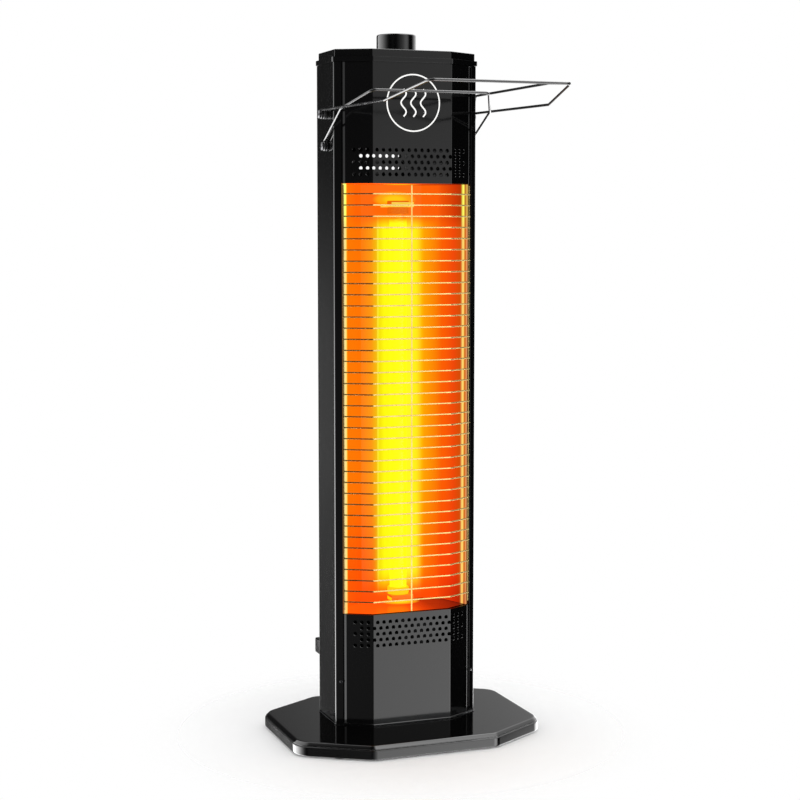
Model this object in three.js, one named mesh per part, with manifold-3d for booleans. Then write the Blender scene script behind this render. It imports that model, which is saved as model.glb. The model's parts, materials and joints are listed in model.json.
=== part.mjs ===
// A free-standing radiant tower heater with a folding towel rack, in millimetres.
// -Y is its front, +X is to the right as seen from the front, and +Z is up.
// The origin is on the floor, under the middle of the base.
import * as THREE from 'three';
import { mergeVertices } from 'three/addons/utils/BufferGeometryUtils.js';
import Module from 'manifold-3d';

// ---------------------------------------------------------------- driving sizes
const gap = 0.3;                 // clearance between pieces that touch

// base
const baseWidth = 334;
const baseDepth = 256;
const baseCornerX = 84;          // how far each cut corner runs along X
const baseCornerY = 52;          // and along Y
const baseRounding = 16;         // length taken off each corner of the side edges by its round
const frontRounding = 5.3;       // and off each corner of the front and back edges
const footHeight = 2;
const trayTop = 13.6;
const trayWall = 3;
const trayFloor = 2.6;
const baseSeam = 1.0;            // shadow gap between tray and cover
const baseTop = 19;
const baseBevel = 4;
const bevelDrop = 3.8;           // height of the bevel round the cover
const plugWall = 4;              // the cover's rim inside the tray
const footRadius = 9;
const footInsetX = 52;           // from the base's side to the middle of a corner foot
const footInsetY = 34;
const weightThickness = 5;
const weightInset = 26;          // from the outline of the base
const tipSwitchInsetX = 62;      // from the base's side to the tip-over switch
const tipSwitchInsetY = 78;      // and from its back
const tipSwitchSize = { width: 26, depth: 20, height: 7 };
const plungerRadius = 2.4;
const plungerPlay = 0.6;         // between the plunger and its well

// casing
const casingWidth = 192;
const casingBack = 50;           // y of the back panel's outer face
const sideFront = -18;           // y where each side panel turns onto the cut corner
const facetFront = -42;          // y of the flat front facet
const facetWidth = 106;
const sheet = 1.5;               // sheet metal thickness
const flangeThickness = 1.9;
const flangeProud = 1.0;
const casingTop = 860.7;
const stripWidth = 9.7;          // side panel's flange on the cut corner
const grooveWidth = 4.8;         // from that flange to the front panels' faces, across a sloped step
const joggleDepth = 2.0;         // step that takes a front panel behind the flange
const tuckedEdge = 3;            // where a front panel ends behind the flange
const backReturn = 12;           // side panel's flange behind the back panel
const towerScrewInsetX = 34;     // from the casing's side to the screws up through the base
const towerScrewInsetFront = 4;  // behind the front end of the side panels
const towerScrewInsetBack = 16;  // from the casing's back
const cableOpening = { width: 60, front: -12, back: 30 };  // in the foot flange

// window and grille
const windowBottom = 164;
const upperPanelHeight = 149.7;
const windowTop = casingTop - upperPanelHeight;
const wirePitch = 14;
const wireFirst = windowBottom + 16;
const wireLast = windowTop - 13;
const wireSize = 1.8;
const railSize = 2;              // the guard's upright at each end
const railOverhang = 11;         // of the uprights past the first and last wire

// vents
const ventRadius = 2.15;         // to the corners of a hole
const ventSides = 8;
const ventPitch = 8.54;
const ventRowPitch = 7.55;
const ventRows = 5;
const upperVentMiddle = windowTop + 26.3;
const lowerVentMiddle = windowBottom - 25.1;
const ventColumns = 12;          // on the front facet, in the odd rows
const cornerVentStart = 6.6;     // first vent past the bend
const slotLength = 60;
const slotHeight = 5.4;
const slotSpace = 8;             // between the two columns of slots
const upperSlotShift = 20;       // of the upper slots to the right
const upperSlotRise = 3.9;       // above the second and fourth rows of vents
const lowerSlots = 5;
const lowerSlotFirst = 40;
const lowerSlotPitch = 11;

// cap and knob
const lipHeight = 6.1;
const lipProud = 1.8;
const capHeight = 9.5;
const capWall = 2;
const capInset = 1.8;            // the cap's upper step, inside the casing
const skirtInset = 4;
const skirtDepth = 8;
const knobY = 17;
const knobRadius = 25.2;
const knobHeight = 22.6;
const knobLift = 0.8;            // above the cap
const knobCrown = 6;             // material over the shaft
const knobFootBevel = 0.8;
const knobTopBevel = 1.6;
const nutSpace = 1.5;            // round the nut, inside the knob
const shaftRadius = 3;
const shaftFlat = 0.8;
const bushRadius = 5;
const bushRise = 2.6;            // above the cap
const nutRadius = 8.5;
const nutHeight = 2.1;
const switchHalf = 15;           // half the side of the switch body
const switchHeight = 24;
const switchFloor = 8;

// heater
const tubeY = 10.5;
const tubeRadius = 11;
const tubeWall = 1.5;
const tubeBottom = windowBottom + 15;
const tubeTop = windowTop - 29;
const elementRadius = 4.5;
const elementInset = 3;          // inside each end of the tube
const ceramicRadius = 14;
const ceramicHeight = 17;
const ceramicOverlap = 9;        // of each cap over the tube's end
const clipThickness = 2.5;
const clipHalf = 15;
const clipReach = 18;            // in front of the tube's axis
const clipLip = 6;               // height of the clip's turned front edge
const reflectorSheet = 1;
const lipStart = 7;              // the trough's lips, measured along the cut corners
const lipEnd = 14;
const lipTurn = { run: 1, depth: 1.3 };  // how a lip turns in to the trough's side
const reflectorBack = 35;        // y of the trough's floor
const reflectorBend = 20;        // y where its sides turn
const troughHalf = 42;           // half the width of its floor
const troughInset = 30;          // from the casing's side to that turn
const endSheet = 1.2;
const endInset = 6;
const baffleInset = 34;          // from the casing's side
const baffleSpace = 4;           // behind the reflector

// wiring pieces
const terminalBlock = { left: 9.5, front: -4, back: 26, height: 47 };
const cutout = { x: -50, y: 30, bore: 2, radius: 9, height: 6 };
const bracketHalf = 30;          // half the width of the switch's bracket
const bracketFront = -4;
const bracketDrop = 24;          // height of its flange on the back panel

// rack
const rackWire = 1.6;            // wire radius
const eyeRadius = 4.8;           // to the middle of the wire
const pivotY = 11.5;
const innerPivot = { y: pivotY, z: casingTop - 102.7 };
const outerPivot = { y: pivotY, z: casingTop - 62.7 };
const innerWasher = 0.8;
const outerWasher = 4.6;
const washerRadius = 6.4;
const bendRadius = 9;            // where a leg or a bar turns
const innerKneeRun = { y: -67.5, z: 43 };   // from the pivot to the knee of a leg
const innerBarRun = { y: -117.5, z: 63 };   // and to the bar
const innerNarrowing = 23;       // of the bar's corners, on each side
const outerKneeRun = { y: -233.5, z: 2 };
const outerBarRun = { y: -329.5, z: 19 };
const outerNarrowing = 17.8;
const eyeTurn = Math.PI * 1.55;
const railRise = 22;             // side rail above the outer frame's right leg
const railBack = 0;              // y where the side rail comes down to the leg
const railRun = 8;               // length over which it comes down

// screws: shank and head radius, head height, length under the head
const screwClearance = 0.25;
const baseScrew = { shank: 2.5, head: 5, height: 1.2, reach: 3.5 };  // reach into the casing
const cornerScrew = { shank: 1.1, head: 1.9, height: 0.9, length: 7 };
const backScrew = { shank: 1.8, head: 3.6, height: 1.8, length: 6 };
const pivotScrew = { shank: 2.4, head: 5.6, height: 2.4, grip: 5 };
const cornerScrewAlong = 7.2;
const cornerScrewHeight = 75.8;
const backScrewLow = 70;
const backScrewDrop = 30;        // from the casing's top

// inlet on the back
const inletLow = 93;
const inletHigh = 113;
const inletInset = 2;            // from the casing's side
const inletWidth = 36;
const inletDepth = 26;
const cordY = 15;                // the cord's axis behind the back panel
const glandRadius = 4.6;
const glandBore = 3.2;
const glandLength = 21;
const glandInside = 5;           // length of it inside the inlet
const inletPlate = { thickness: 2.2, left: 1, right: 4, above: 18, below: 18 };

// ---------------------------------------------------------------- materials
const finish = (color, roughness, metalness) =>
  new THREE.MeshStandardMaterial({ color, roughness, metalness });
const blackPaint = finish(0x0b0b0c, 0.25, 0.3);
const blackPlastic = finish(0x101012, 0.3, 0.0);
const darkWire = finish(0x1a1a1c, 0.35, 0.6);
const brightSteel = finish(0xb8babd, 0.3, 0.9);
const mirrorSheet = finish(0xd9b98a, 0.12, 1.0);
const rubber = finish(0x151515, 0.8, 0.0);
const ceramic = finish(0xe8e2d4, 0.5, 0.0);
const quartz = finish(0xffc070, 0.1, 0.0);
const glowing = finish(0xffa020, 0.6, 0.0);
const redPlastic = finish(0xc23b2a, 0.5, 0.0);

// ---------------------------------------------------------------- joining and cutting
const wasm = await Module();
wasm.setup();

function toSolid(geometry) {
  const bare = geometry.index ? geometry.toNonIndexed() : geometry.clone();
  bare.deleteAttribute('normal');
  bare.deleteAttribute('uv');
  const merged = mergeVertices(bare, 1e-4);
  return new wasm.Manifold(new wasm.Mesh({
    numProp: 3,
    vertProperties: new Float32Array(merged.attributes.position.array),
    triVerts: new Uint32Array(merged.index.array),
  }));
}

function toGeometry(solid) {
  const mesh = solid.getMesh();
  const geometry = new THREE.BufferGeometry();
  const count = mesh.vertProperties.length / mesh.numProp;
  const positions = new Float32Array(count * 3);
  for (let i = 0; i < count; i += 1) {
    for (let axis = 0; axis < 3; axis += 1) {
      positions[3 * i + axis] = mesh.vertProperties[mesh.numProp * i + axis];
    }
  }
  geometry.setAttribute('position', new THREE.BufferAttribute(positions, 3));
  geometry.setIndex(new THREE.BufferAttribute(new Uint32Array(mesh.triVerts), 1));
  return geometry;
}

function join(...geometries) {
  return toGeometry(geometries.map(toSolid).reduce((whole, piece) => whole.add(piece)));
}

function cut(body, ...tools) {
  return toGeometry(tools.map(toSolid).reduce((whole, tool) => whole.subtract(tool), toSolid(body)));
}

// ---------------------------------------------------------------- plan outlines
const half = casingWidth / 2;
const halfFacet = facetWidth / 2;
const corner = new THREE.Vector2(half, sideFront);
const bend = new THREE.Vector2(halfFacet, facetFront);
const along = bend.clone().sub(corner).normalize();           // from the corner to the bend
const inward = new THREE.Vector2(along.y, -along.x);          // into the casing
const cornerLength = bend.distanceTo(corner);

// A point on the right cut corner: a along it from the side, n inwards from its face.
const onCorner = (a, n) => corner.clone().addScaledVector(along, a).addScaledVector(inward, n);
const mirrored = (points) => points.map((p) => new THREE.Vector2(-p.x, p.y)).reverse();

// Moves a line of points sideways by a distance, to its left, with mitred corners.
function offsetLine(points, distance, closed = false) {
  const count = points.length;
  return points.map((point, i) => {
    const before = closed ? points[(i + count - 1) % count] : points[i - 1];
    const after = closed ? points[(i + 1) % count] : points[i + 1];
    const normals = [];
    if (before) normals.push(leftOf(before, point));
    if (after) normals.push(leftOf(point, after));
    const mean = normals.reduce((sum, n) => sum.add(n), new THREE.Vector2()).normalize();
    return point.clone().addScaledVector(mean, distance / mean.dot(leftOf(before ?? point, before ? point : after)));
  });
}

function leftOf(from, to) {
  const run = to.clone().sub(from).normalize();
  return new THREE.Vector2(-run.y, run.x);
}

// The casing's outline, anticlockwise, grown outwards by a distance.
function casingOutline(grow) {
  const right = [bend, corner, new THREE.Vector2(half, casingBack)];
  const outline = [...mirrored(right), ...right];
  return offsetLine(outline, -grow, true);
}

// The base's outline with its side corners rounded, shrunk by an inset.
function baseOutline(inset) {
  const x = baseWidth / 2;
  const y = baseDepth / 2;
  const right = [
    new THREE.Vector2(x - baseCornerX, -y), new THREE.Vector2(x, -y + baseCornerY),
    new THREE.Vector2(x, y - baseCornerY), new THREE.Vector2(x - baseCornerX, y),
  ];
  const corners = offsetLine([...right, ...mirrored(right)], inset, true);
  const shape = new THREE.Shape();
  corners.forEach((point, i) => {
    const before = corners[(i + corners.length - 1) % corners.length];
    const after = corners[(i + 1) % corners.length];
    const onFrontOrBack = Math.abs(point.y) > y - baseCornerY / 2;
    const taken = onFrontOrBack ? frontRounding : baseRounding;
    const start = point.clone().addScaledVector(before.clone().sub(point).normalize(), taken);
    const end = point.clone().addScaledVector(after.clone().sub(point).normalize(), taken);
    if (i === 0) shape.moveTo(start.x, start.y);
    else shape.lineTo(start.x, start.y);
    shape.quadraticCurveTo(point.x, point.y, end.x, end.y);
  });
  return shape;
}

// ---------------------------------------------------------------- solids
function slab(shape, low, high, curveSegments = 3) {
  const geometry = new THREE.ExtrudeGeometry(shape, { depth: high - low, bevelEnabled: false, curveSegments });
  return geometry.translate(0, 0, low);
}

const plate = (points, low, high) => slab(new THREE.Shape(points), low, high);

// Bent sheet: its outer face follows the points, and its thickness is to their left.
function bentSheet(points, thickness, low, high) {
  return plate([...points, ...offsetLine(points, thickness).reverse()], low, high);
}

function box(low, high) {
  const size = high.map((value, i) => value - low[i]);
  const middle = high.map((value, i) => (value + low[i]) / 2);
  return new THREE.BoxGeometry(...size).translate(...middle);
}

// A turned solid about the Z axis. The profile is [radius, z] pairs.
function turned(profile, segments = 16) {
  const points = profile.map(([radius, z]) => new THREE.Vector2(radius, z));
  const geometry = new THREE.LatheGeometry(points, segments);
  return geometry.rotateX(Math.PI / 2);
}

const rod = (radius, low, high, segments = 12) =>
  turned([[0, low], [radius, low], [radius, high], [0, high]], segments);

const ring = (inner, outer, low, high, segments = 16) =>
  turned([[inner, low], [outer, low], [outer, high], [inner, high], [inner, low]], segments);

// A screw with its head on top of z = 0 and its shank below.
const screw = ({ shank, head, height, length }) => turned([
  [0, -length], [shank, -length], [shank, 0], [head, 0],
  [head, height * 0.55], [head * 0.7, height], [0, height],
], 12);

const model = new THREE.Group();

function add(name, geometry, material, position = [0, 0, 0], facing = null) {
  const mesh = new THREE.Mesh(geometry, material);
  mesh.name = name;
  mesh.position.set(...position);
  if (facing) mesh.quaternion.setFromUnitVectors(new THREE.Vector3(0, 0, 1), facing);
  model.add(mesh);
  return mesh;
}

const flipX = (geometry) => toGeometry(toSolid(geometry).mirror([1, 0, 0]));

// ---------------------------------------------------------------- base
const towerScrewX = half - towerScrewInsetX;
const baseScrewSpots = [sideFront + towerScrewInsetFront, casingBack - towerScrewInsetBack]
  .flatMap((y) => [[-towerScrewX, y], [towerScrewX, y]]);
const tipSwitchX = baseWidth / 2 - tipSwitchInsetX;
const tipSwitchY = baseDepth / 2 - tipSwitchInsetY;
const trayInner = footHeight + trayFloor;

function buildBase() {
  const coverLow = trayTop + baseSeam;
  const holes = baseScrewSpots.map(([x, y]) =>
    rod(baseScrew.shank + screwClearance, 0, baseTop + 1).translate(x, y, 0));

  const shell = slab(baseOutline(0), footHeight, trayTop);
  const hollow = slab(baseOutline(trayWall), trayInner, trayTop + 1);
  const plungerHole = rod(plungerRadius + screwClearance, 0, trayInner + 1)
    .translate(tipSwitchX, tipSwitchY, 0);
  add('base_tray', cut(shell, hollow, plungerHole, ...holes), blackPlastic);

  const bevelLow = baseTop - bevelDrop;
  const bevelled = new THREE.ExtrudeGeometry(baseOutline(baseSeam + baseBevel), {
    depth: 1, bevelEnabled: true, bevelSize: baseBevel, bevelThickness: bevelDrop,
    bevelSegments: 1, curveSegments: 3,
  });
  bevelled.translate(0, 0, bevelLow - 1);
  const below = box([-baseWidth, -baseDepth, 0], [baseWidth, baseDepth, coverLow]);
  const plug = slab(baseOutline(trayWall + gap), trayTop - 1, coverLow + 1);
  const plugHollow = slab(baseOutline(trayWall + plugWall), 0, coverLow);
  add('base_cover', cut(join(cut(bevelled, below), cut(plug, plugHollow)), ...holes), blackPaint);

  const weightLow = trayInner + gap;
  const room = 2;
  const pocket = box(
    [tipSwitchX - tipSwitchSize.width / 2 - room, tipSwitchY - tipSwitchSize.depth / 2 - room, 0],
    [tipSwitchX + baseWidth, tipSwitchY + baseDepth, baseTop],
  );
  add('base_weight_plate',
    cut(slab(baseOutline(weightInset), weightLow, weightLow + weightThickness, 2), pocket, ...holes),
    brightSteel);

  const footX = baseWidth / 2 - footInsetX;
  const footY = baseDepth / 2 - footInsetY;
  const spots = { centre: [0, 0], front_left: [-footX, -footY], front_right: [footX, -footY],
    back_left: [-footX, footY], back_right: [footX, footY] };
  for (const [where, [x, y]] of Object.entries(spots)) {
    add(`foot_pad_${where}`, rod(footRadius, 0, footHeight - gap), rubber, [x, y, 0]);
  }

  baseScrewSpots.forEach(([x, y], i) => {
    const length = casingLow - footHeight + baseScrew.reach;
    const down = screw({ ...baseScrew, length }).rotateX(Math.PI);
    add(`base_screw_${i + 1}`, down, brightSteel, [x, y, footHeight - gap]);
  });
}

// ---------------------------------------------------------------- tip-over switch
function buildTipSwitch() {
  const { width, depth, height } = tipSwitchSize;
  const low = trayInner + gap;
  const wellTop = low + height - 1;
  const stemTop = wellTop - plungerPlay;
  const body = box([-width / 2, -depth / 2, low], [width / 2, depth / 2, low + height]);
  const well = rod(plungerRadius + plungerPlay, 0, wellTop);
  add('tip_switch_body', cut(body, well), blackPlastic, [tipSwitchX, tipSwitchY, 0]);
  const stem = turned([
    [0, gap], [plungerRadius - 1, gap], [plungerRadius, gap + 1], [plungerRadius, stemTop],
    [0, stemTop],
  ], 12);
  add('tip_switch_plunger', stem, redPlastic, [tipSwitchX, tipSwitchY, 0]);
}

// ---------------------------------------------------------------- casing
const flangeLow = baseTop + gap;
const casingLow = flangeLow + flangeThickness + gap;
const backInner = casingBack - sheet;
const inletLeft = inletInset - half;
const inletRight = inletLeft + inletWidth;
const inletMiddleX = (inletLeft + inletRight) / 2;
const inletMiddleZ = (inletLow + inletHigh) / 2;
const backScrewX = half - backReturn / 2 - 1;
const backScrewHeights = [backScrewLow, casingTop - backScrewDrop];
const cornerFacing = new THREE.Vector3(-inward.x, -inward.y, 0);

function cornerPin(radius, z) {
  const at = onCorner(cornerScrewAlong, 0);
  const reach = 12;
  const pin = rod(radius, -reach, reach);
  pin.applyQuaternion(new THREE.Quaternion().setFromUnitVectors(new THREE.Vector3(0, 0, 1), cornerFacing));
  return pin.translate(at.x, at.y, z);
}

const alongY = (radius, x, z, low, high) =>
  rod(radius, low, high).rotateX(-Math.PI / 2).translate(x, 0, z);
const alongX = (radius, y, z, low, high) =>
  rod(radius, low, high).rotateY(Math.PI / 2).translate(0, y, z);

function buildSidePanels() {
  const line = [
    onCorner(stripWidth, 0), corner, new THREE.Vector2(half, backInner - gap),
    new THREE.Vector2(half - backReturn, backInner - gap),
  ];
  const holes = backScrewHeights.map((z) =>
    alongY(backScrew.shank + screwClearance, backScrewX, z, backInner - 6, casingBack + 1));
  for (const pivot of [innerPivot, outerPivot]) {
    holes.push(alongX(pivotScrew.shank + screwClearance, pivot.y, pivot.z, half - 10, half + 5));
  }
  holes.push(cornerPin(cornerScrew.shank + screwClearance, cornerScrewHeight));
  const right = cut(bentSheet(line, sheet, casingLow, casingTop), ...holes);
  add('side_panel_right', right, blackPaint);
  add('side_panel_left', flipX(right), blackPaint);
}

// The ventilation holes of one front panel, in rows about a middle height.
function ventPins(middle) {
  const pins = [];
  const hole = rod(ventRadius, -8, 8, ventSides).rotateZ(Math.PI / ventSides);
  for (let row = 0; row < ventRows; row += 1) {
    const z = middle + (row - (ventRows - 1) / 2) * ventRowPitch;
    const odd = row % 2 === 0;
    const columns = odd ? ventColumns : ventColumns + 1;
    for (let i = 0; i < columns; i += 1) {
      const x = (i - (columns - 1) / 2) * ventPitch;
      pins.push(hole.clone().rotateX(Math.PI / 2).translate(x, facetFront, z));
    }
    const onEachCorner = odd ? 3 : 2;
    for (let i = 0; i < onEachCorner; i += 1) {
      const at = onCorner(cornerLength - cornerVentStart - i * ventPitch, 0);
      for (const side of [1, -1]) {
        const facing = new THREE.Vector3(side * cornerFacing.x, cornerFacing.y, 0);
        const pin = hole.clone();
        pin.applyQuaternion(new THREE.Quaternion().setFromUnitVectors(new THREE.Vector3(0, 0, 1), facing));
        pins.push(pin.translate(side * at.x, at.y, z));
      }
    }
  }
  return pins;
}

const panelEdge = stripWidth + grooveWidth;
const rightOfPanel = [
  bend, onCorner(panelEdge, 0), onCorner(stripWidth, joggleDepth), onCorner(tuckedEdge, joggleDepth),
];
const panelLine = [...mirrored(rightOfPanel), ...rightOfPanel];

function buildFrontPanels() {
  const upper = bentSheet(panelLine, sheet, windowTop, casingTop - gap);
  add('front_panel_upper', cut(upper, ...ventPins(upperVentMiddle)), blackPaint);
  const lower = bentSheet(panelLine, sheet, casingLow, windowBottom);
  const pin = cornerPin(cornerScrew.shank + screwClearance, cornerScrewHeight);
  add('front_panel_lower', cut(lower, pin, flipX(pin), ...ventPins(lowerVentMiddle)), blackPaint);
  for (const [side, name] of [[-1, 'left'], [1, 'right']]) {
    const at = onCorner(cornerScrewAlong, -gap);
    const facing = new THREE.Vector3(side * cornerFacing.x, cornerFacing.y, 0);
    add(`corner_screw_${name}`, screw(cornerScrew), darkWire,
      [side * at.x, at.y, cornerScrewHeight], facing);
  }
}

function buildBackPanel() {
  const sheetBody = box([-half, backInner, casingLow], [half, casingBack, casingTop]);
  const slots = [];
  const slot = (x, z) => box(
    [x - slotLength / 2, backInner - 2, z - slotHeight / 2],
    [x + slotLength / 2, casingBack + 2, z + slotHeight / 2],
  );
  for (const side of [-1, 1]) {
    const x = side * (slotLength + slotSpace) / 2;
    for (const row of [-1, 1]) {
      slots.push(slot(x + upperSlotShift, upperVentMiddle + row * ventRowPitch + upperSlotRise));
    }
    for (let i = 0; i < lowerSlots; i += 1) slots.push(slot(x, lowerSlotFirst + i * lowerSlotPitch));
  }
  const cordHole = alongY(glandBore + screwClearance, inletMiddleX, inletMiddleZ, backInner - 6, casingBack + 1);
  const spots = backScrewHeights.flatMap((z) => [[-backScrewX, z], [backScrewX, z]]);
  const holes = spots.map(([x, z]) =>
    alongY(backScrew.shank + screwClearance, x, z, backInner - 6, casingBack + 1));
  add('back_panel', cut(sheetBody, ...slots, ...holes, cordHole), blackPaint);
  const facing = new THREE.Vector3(0, 1, 0);
  spots.forEach(([x, z], i) => {
    add(`back_screw_${i + 1}`, screw(backScrew), darkWire, [x, casingBack + gap, z], facing);
  });
}

function buildFlange() {
  const holes = baseScrewSpots.map(([x, y]) =>
    rod(baseScrew.shank + screwClearance, 0, casingLow + 5).translate(x, y, 0));
  const outer = plate(casingOutline(flangeProud), flangeLow, flangeLow + flangeThickness);
  const { width, front, back } = cableOpening;
  const opening = box([-width / 2, front, 0], [width / 2, back, casingLow]);
  add('tower_foot_flange', cut(outer, opening, ...holes), blackPaint);
}

const capLow = casingTop + gap;
const capTop = capLow + lipHeight + capHeight;

function buildCap() {
  const lipTop = capLow + lipHeight;
  const lip = plate(casingOutline(lipProud), capLow, lipTop);
  const block = plate(casingOutline(-capInset), lipTop - 1, capTop);
  const skirt = plate(casingOutline(-skirtInset), capLow - skirtDepth, capLow + 1);
  const hollow = plate(casingOutline(-skirtInset - sheet), capLow - skirtDepth - 1, capTop - capWall);
  const bushHole = rod(bushRadius + screwClearance, capLow, capTop + 1).translate(0, knobY, 0);
  add('top_cap', cut(join(lip, block, skirt), hollow, bushHole), blackPaint);
}

// ---------------------------------------------------------------- switch and knob
const switchTop = capTop - capWall - gap;
const switchLow = switchTop - switchHeight;
const knobBottom = capTop + knobLift;
const knobTop = knobBottom + knobHeight;

function buildSwitch() {
  const at = [0, knobY, 0];
  const body = box([-switchHalf, -switchHalf, switchLow], [switchHalf, switchHalf, switchTop]);
  const bushTop = capTop + bushRise;
  const bush = rod(bushRadius, switchTop - 1, bushTop);
  const bore = rod(shaftRadius + gap, switchLow + switchFloor, bushTop + 1);
  add('rotary_switch', cut(join(body, bush), bore), blackPlastic, at);
  const nutTop = capTop + gap + nutHeight;
  const nut = cut(rod(nutRadius, capTop + gap, nutTop, 6), rod(bushRadius + gap, capTop, nutTop + 1));
  add('switch_nut', nut, brightSteel, at);

  const shaftTop = knobTop - knobCrown;
  const flatLow = bushTop + gap;
  const flatCut = (clearance) => box(
    [shaftRadius - shaftFlat + clearance, -knobRadius / 2, flatLow - clearance],
    [knobRadius / 2, knobRadius / 2, knobTop],
  );
  const shaft = rod(shaftRadius, switchLow + switchFloor + gap, shaftTop);
  add('switch_shaft', cut(shaft, flatCut(0)), brightSteel, at);

  const solid = turned([
    [0, knobBottom], [knobRadius - knobFootBevel, knobBottom],
    [knobRadius, knobBottom + knobFootBevel], [knobRadius, knobTop - knobTopBevel],
    [knobRadius - knobTopBevel, knobTop], [0, knobTop],
  ], 32);
  const nutRoom = rod(nutRadius + nutSpace, knobBottom - 1, bushTop + 2 * gap);
  const shaftBore = cut(rod(shaftRadius + gap, knobBottom, shaftTop + gap), flatCut(gap));
  add('control_knob', cut(solid, nutRoom, shaftBore), blackPlastic, at);
}

// ---------------------------------------------------------------- grille
function buildGrille() {
  const front = 0.1;             // the wires' front face behind the casing's
  const back = front + wireSize;
  const weld = 0.7;              // how far an upright is sunk into the wires
  const wireCount = Math.round((wireLast - wireFirst) / wirePitch) + 1;
  const right = [bend, onCorner(stripWidth + 1, 0)];
  const line = offsetLine([...mirrored(right), ...right], front);
  const bars = [];
  for (let i = 0; i < wireCount; i += 1) {
    const z = wireFirst + (wireLast - wireFirst) * i / (wireCount - 1);
    bars.push(bentSheet(line, wireSize, z - wireSize / 2, z + wireSize / 2));
  }
  const upright = (spot) => plate(spot, wireFirst - railOverhang, wireLast + railOverhang);
  const railStart = stripWidth + weld;
  const rail = [onCorner(railStart, weld / 2), onCorner(railStart + railSize, weld / 2),
    onCorner(railStart + railSize, back - weld / 4), onCorner(railStart, back - weld / 4)];
  const y = facetFront + back - weld;
  const middle = [[-1, 0], [1, 0], [1, 1], [-1, 1]]
    .map(([side, deep]) => new THREE.Vector2(side * wireSize / 2, y + deep * wireSize));
  add('front_grille', join(upright(rail), upright(mirrored(rail)), upright(middle), ...bars), brightSteel);
}

// ---------------------------------------------------------------- reflector, tube and guards
const reflectorLow = windowBottom + gap;
const reflectorHigh = windowTop - gap;
const endPlateTop = reflectorHigh + gap + endSheet;

function buildReflector() {
  const lip = joggleDepth + gap / 2;   // the trough's lips lie behind the side panels' flanges
  const right = [
    onCorner(lipStart, lip), onCorner(lipEnd, lip), onCorner(lipEnd + lipTurn.run, lip + lipTurn.depth),
    new THREE.Vector2(half - troughInset, reflectorBend), new THREE.Vector2(troughHalf, reflectorBack),
  ];
  const line = [...right, ...mirrored(right)];
  add('reflector', bentSheet(line, -reflectorSheet, reflectorLow, reflectorHigh), mirrorSheet);
  const outline = casingOutline(-endInset);
  for (const [name, low] of [['top', reflectorHigh + gap], ['bottom', reflectorLow - gap - endSheet]]) {
    add(`reflector_end_${name}`, plate(outline, low, low + endSheet), mirrorSheet);
  }
  const baffleHalf = half - baffleInset;
  const baffleFront = reflectorBack + reflectorSheet + baffleSpace;
  add('heat_baffle', box(
    [-baffleHalf, baffleFront, reflectorLow], [baffleHalf, baffleFront + endSheet, reflectorHigh],
  ), brightSteel);
}

function buildTube() {
  const at = [0, tubeY, 0];
  add('heater_tube', ring(tubeRadius - tubeWall, tubeRadius, tubeBottom, tubeTop, 20), quartz, at);
  const element = rod(elementRadius, tubeBottom + elementInset, tubeTop - elementInset, 8);
  add('heating_element', element, glowing, at);

  // A ceramic cap on the end of the tube, with its mouth upwards and the tube's end at z = 0.
  const capFoot = ceramicOverlap - ceramicHeight;
  const pocket = tubeRadius + gap;
  const cap = turned([
    [0, capFoot], [ceramicRadius, capFoot], [ceramicRadius, ceramicOverlap],
    [pocket, ceramicOverlap], [pocket, -gap], [0, -gap],
  ], 20);
  add('ceramic_cap_bottom', cap, ceramic, [0, tubeY, tubeBottom]);
  add('ceramic_cap_top', cap.clone().rotateX(Math.PI), ceramic, [0, tubeY, tubeTop]);

  // A sheet clip round the cap, with its front edge turned down past the tube's end.
  const clipBack = reflectorBack - gap - tubeY;
  const clipHole = rod(ceramicRadius + gap, -clipLip, clipThickness + 1, 24);
  const clip = cut(join(
    box([-clipHalf, -clipReach, -clipThickness], [clipHalf, clipBack, 0]),
    box([-clipHalf, -clipReach, -clipLip], [clipHalf, -clipReach + reflectorSheet, 0]),
  ), clipHole);
  add('tube_clip_bottom', clip, brightSteel, [0, tubeY, tubeBottom]);
  add('tube_clip_top', flipX(clip).rotateY(Math.PI), brightSteel, [0, tubeY, tubeTop]);
}

// ---------------------------------------------------------------- wiring pieces
function buildElectrics() {
  const onPlate = endPlateTop + gap;
  const { left, front, back, height } = terminalBlock;
  add('terminal_block', box([left, front, onPlate], [half - baffleInset, back, onPlate + height]), blackPlastic);
  add('thermal_cutout', ring(cutout.bore, cutout.radius, onPlate, onPlate + cutout.height), blackPlastic,
    [cutout.x, cutout.y, 0]);

  // The bracket runs from the back panel to under the switch body.
  const shelfTop = switchLow - gap;
  const bracketBack = backInner - gap;
  add('switch_bracket', join(
    box([-bracketHalf, bracketFront, shelfTop - sheet], [bracketHalf, bracketBack, shelfTop]),
    box([-bracketHalf, bracketBack - sheet, shelfTop - bracketDrop], [bracketHalf, bracketBack, shelfTop]),
  ), brightSteel);

  const plateFront = casingBack + gap;
  const plateBack = plateFront + inletPlate.thickness;
  const housing = box([inletLeft, plateBack - gap, inletLow], [inletRight, casingBack + inletDepth, inletHigh]);
  const mountPlate = box(
    [inletLeft - inletPlate.left, plateFront, inletLow - inletPlate.below],
    [inletRight + inletPlate.right, plateBack, inletHigh + inletPlate.above],
  );
  const cordAt = [inletMiddleX, casingBack + cordY, 0];
  const entry = rod(glandRadius + gap, inletLow - 2, inletMiddleZ).translate(...cordAt);
  const toCasing = alongY(glandRadius + gap, inletMiddleX, inletMiddleZ, casingBack - 2, casingBack + cordY);
  add('inlet_housing', cut(join(housing, mountPlate), entry, toCasing), blackPlastic);
  const glandTop = inletLow + glandInside;
  add('cord_gland', ring(glandBore, glandRadius, glandTop - glandLength, glandTop), rubber, cordAt);
}

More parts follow.
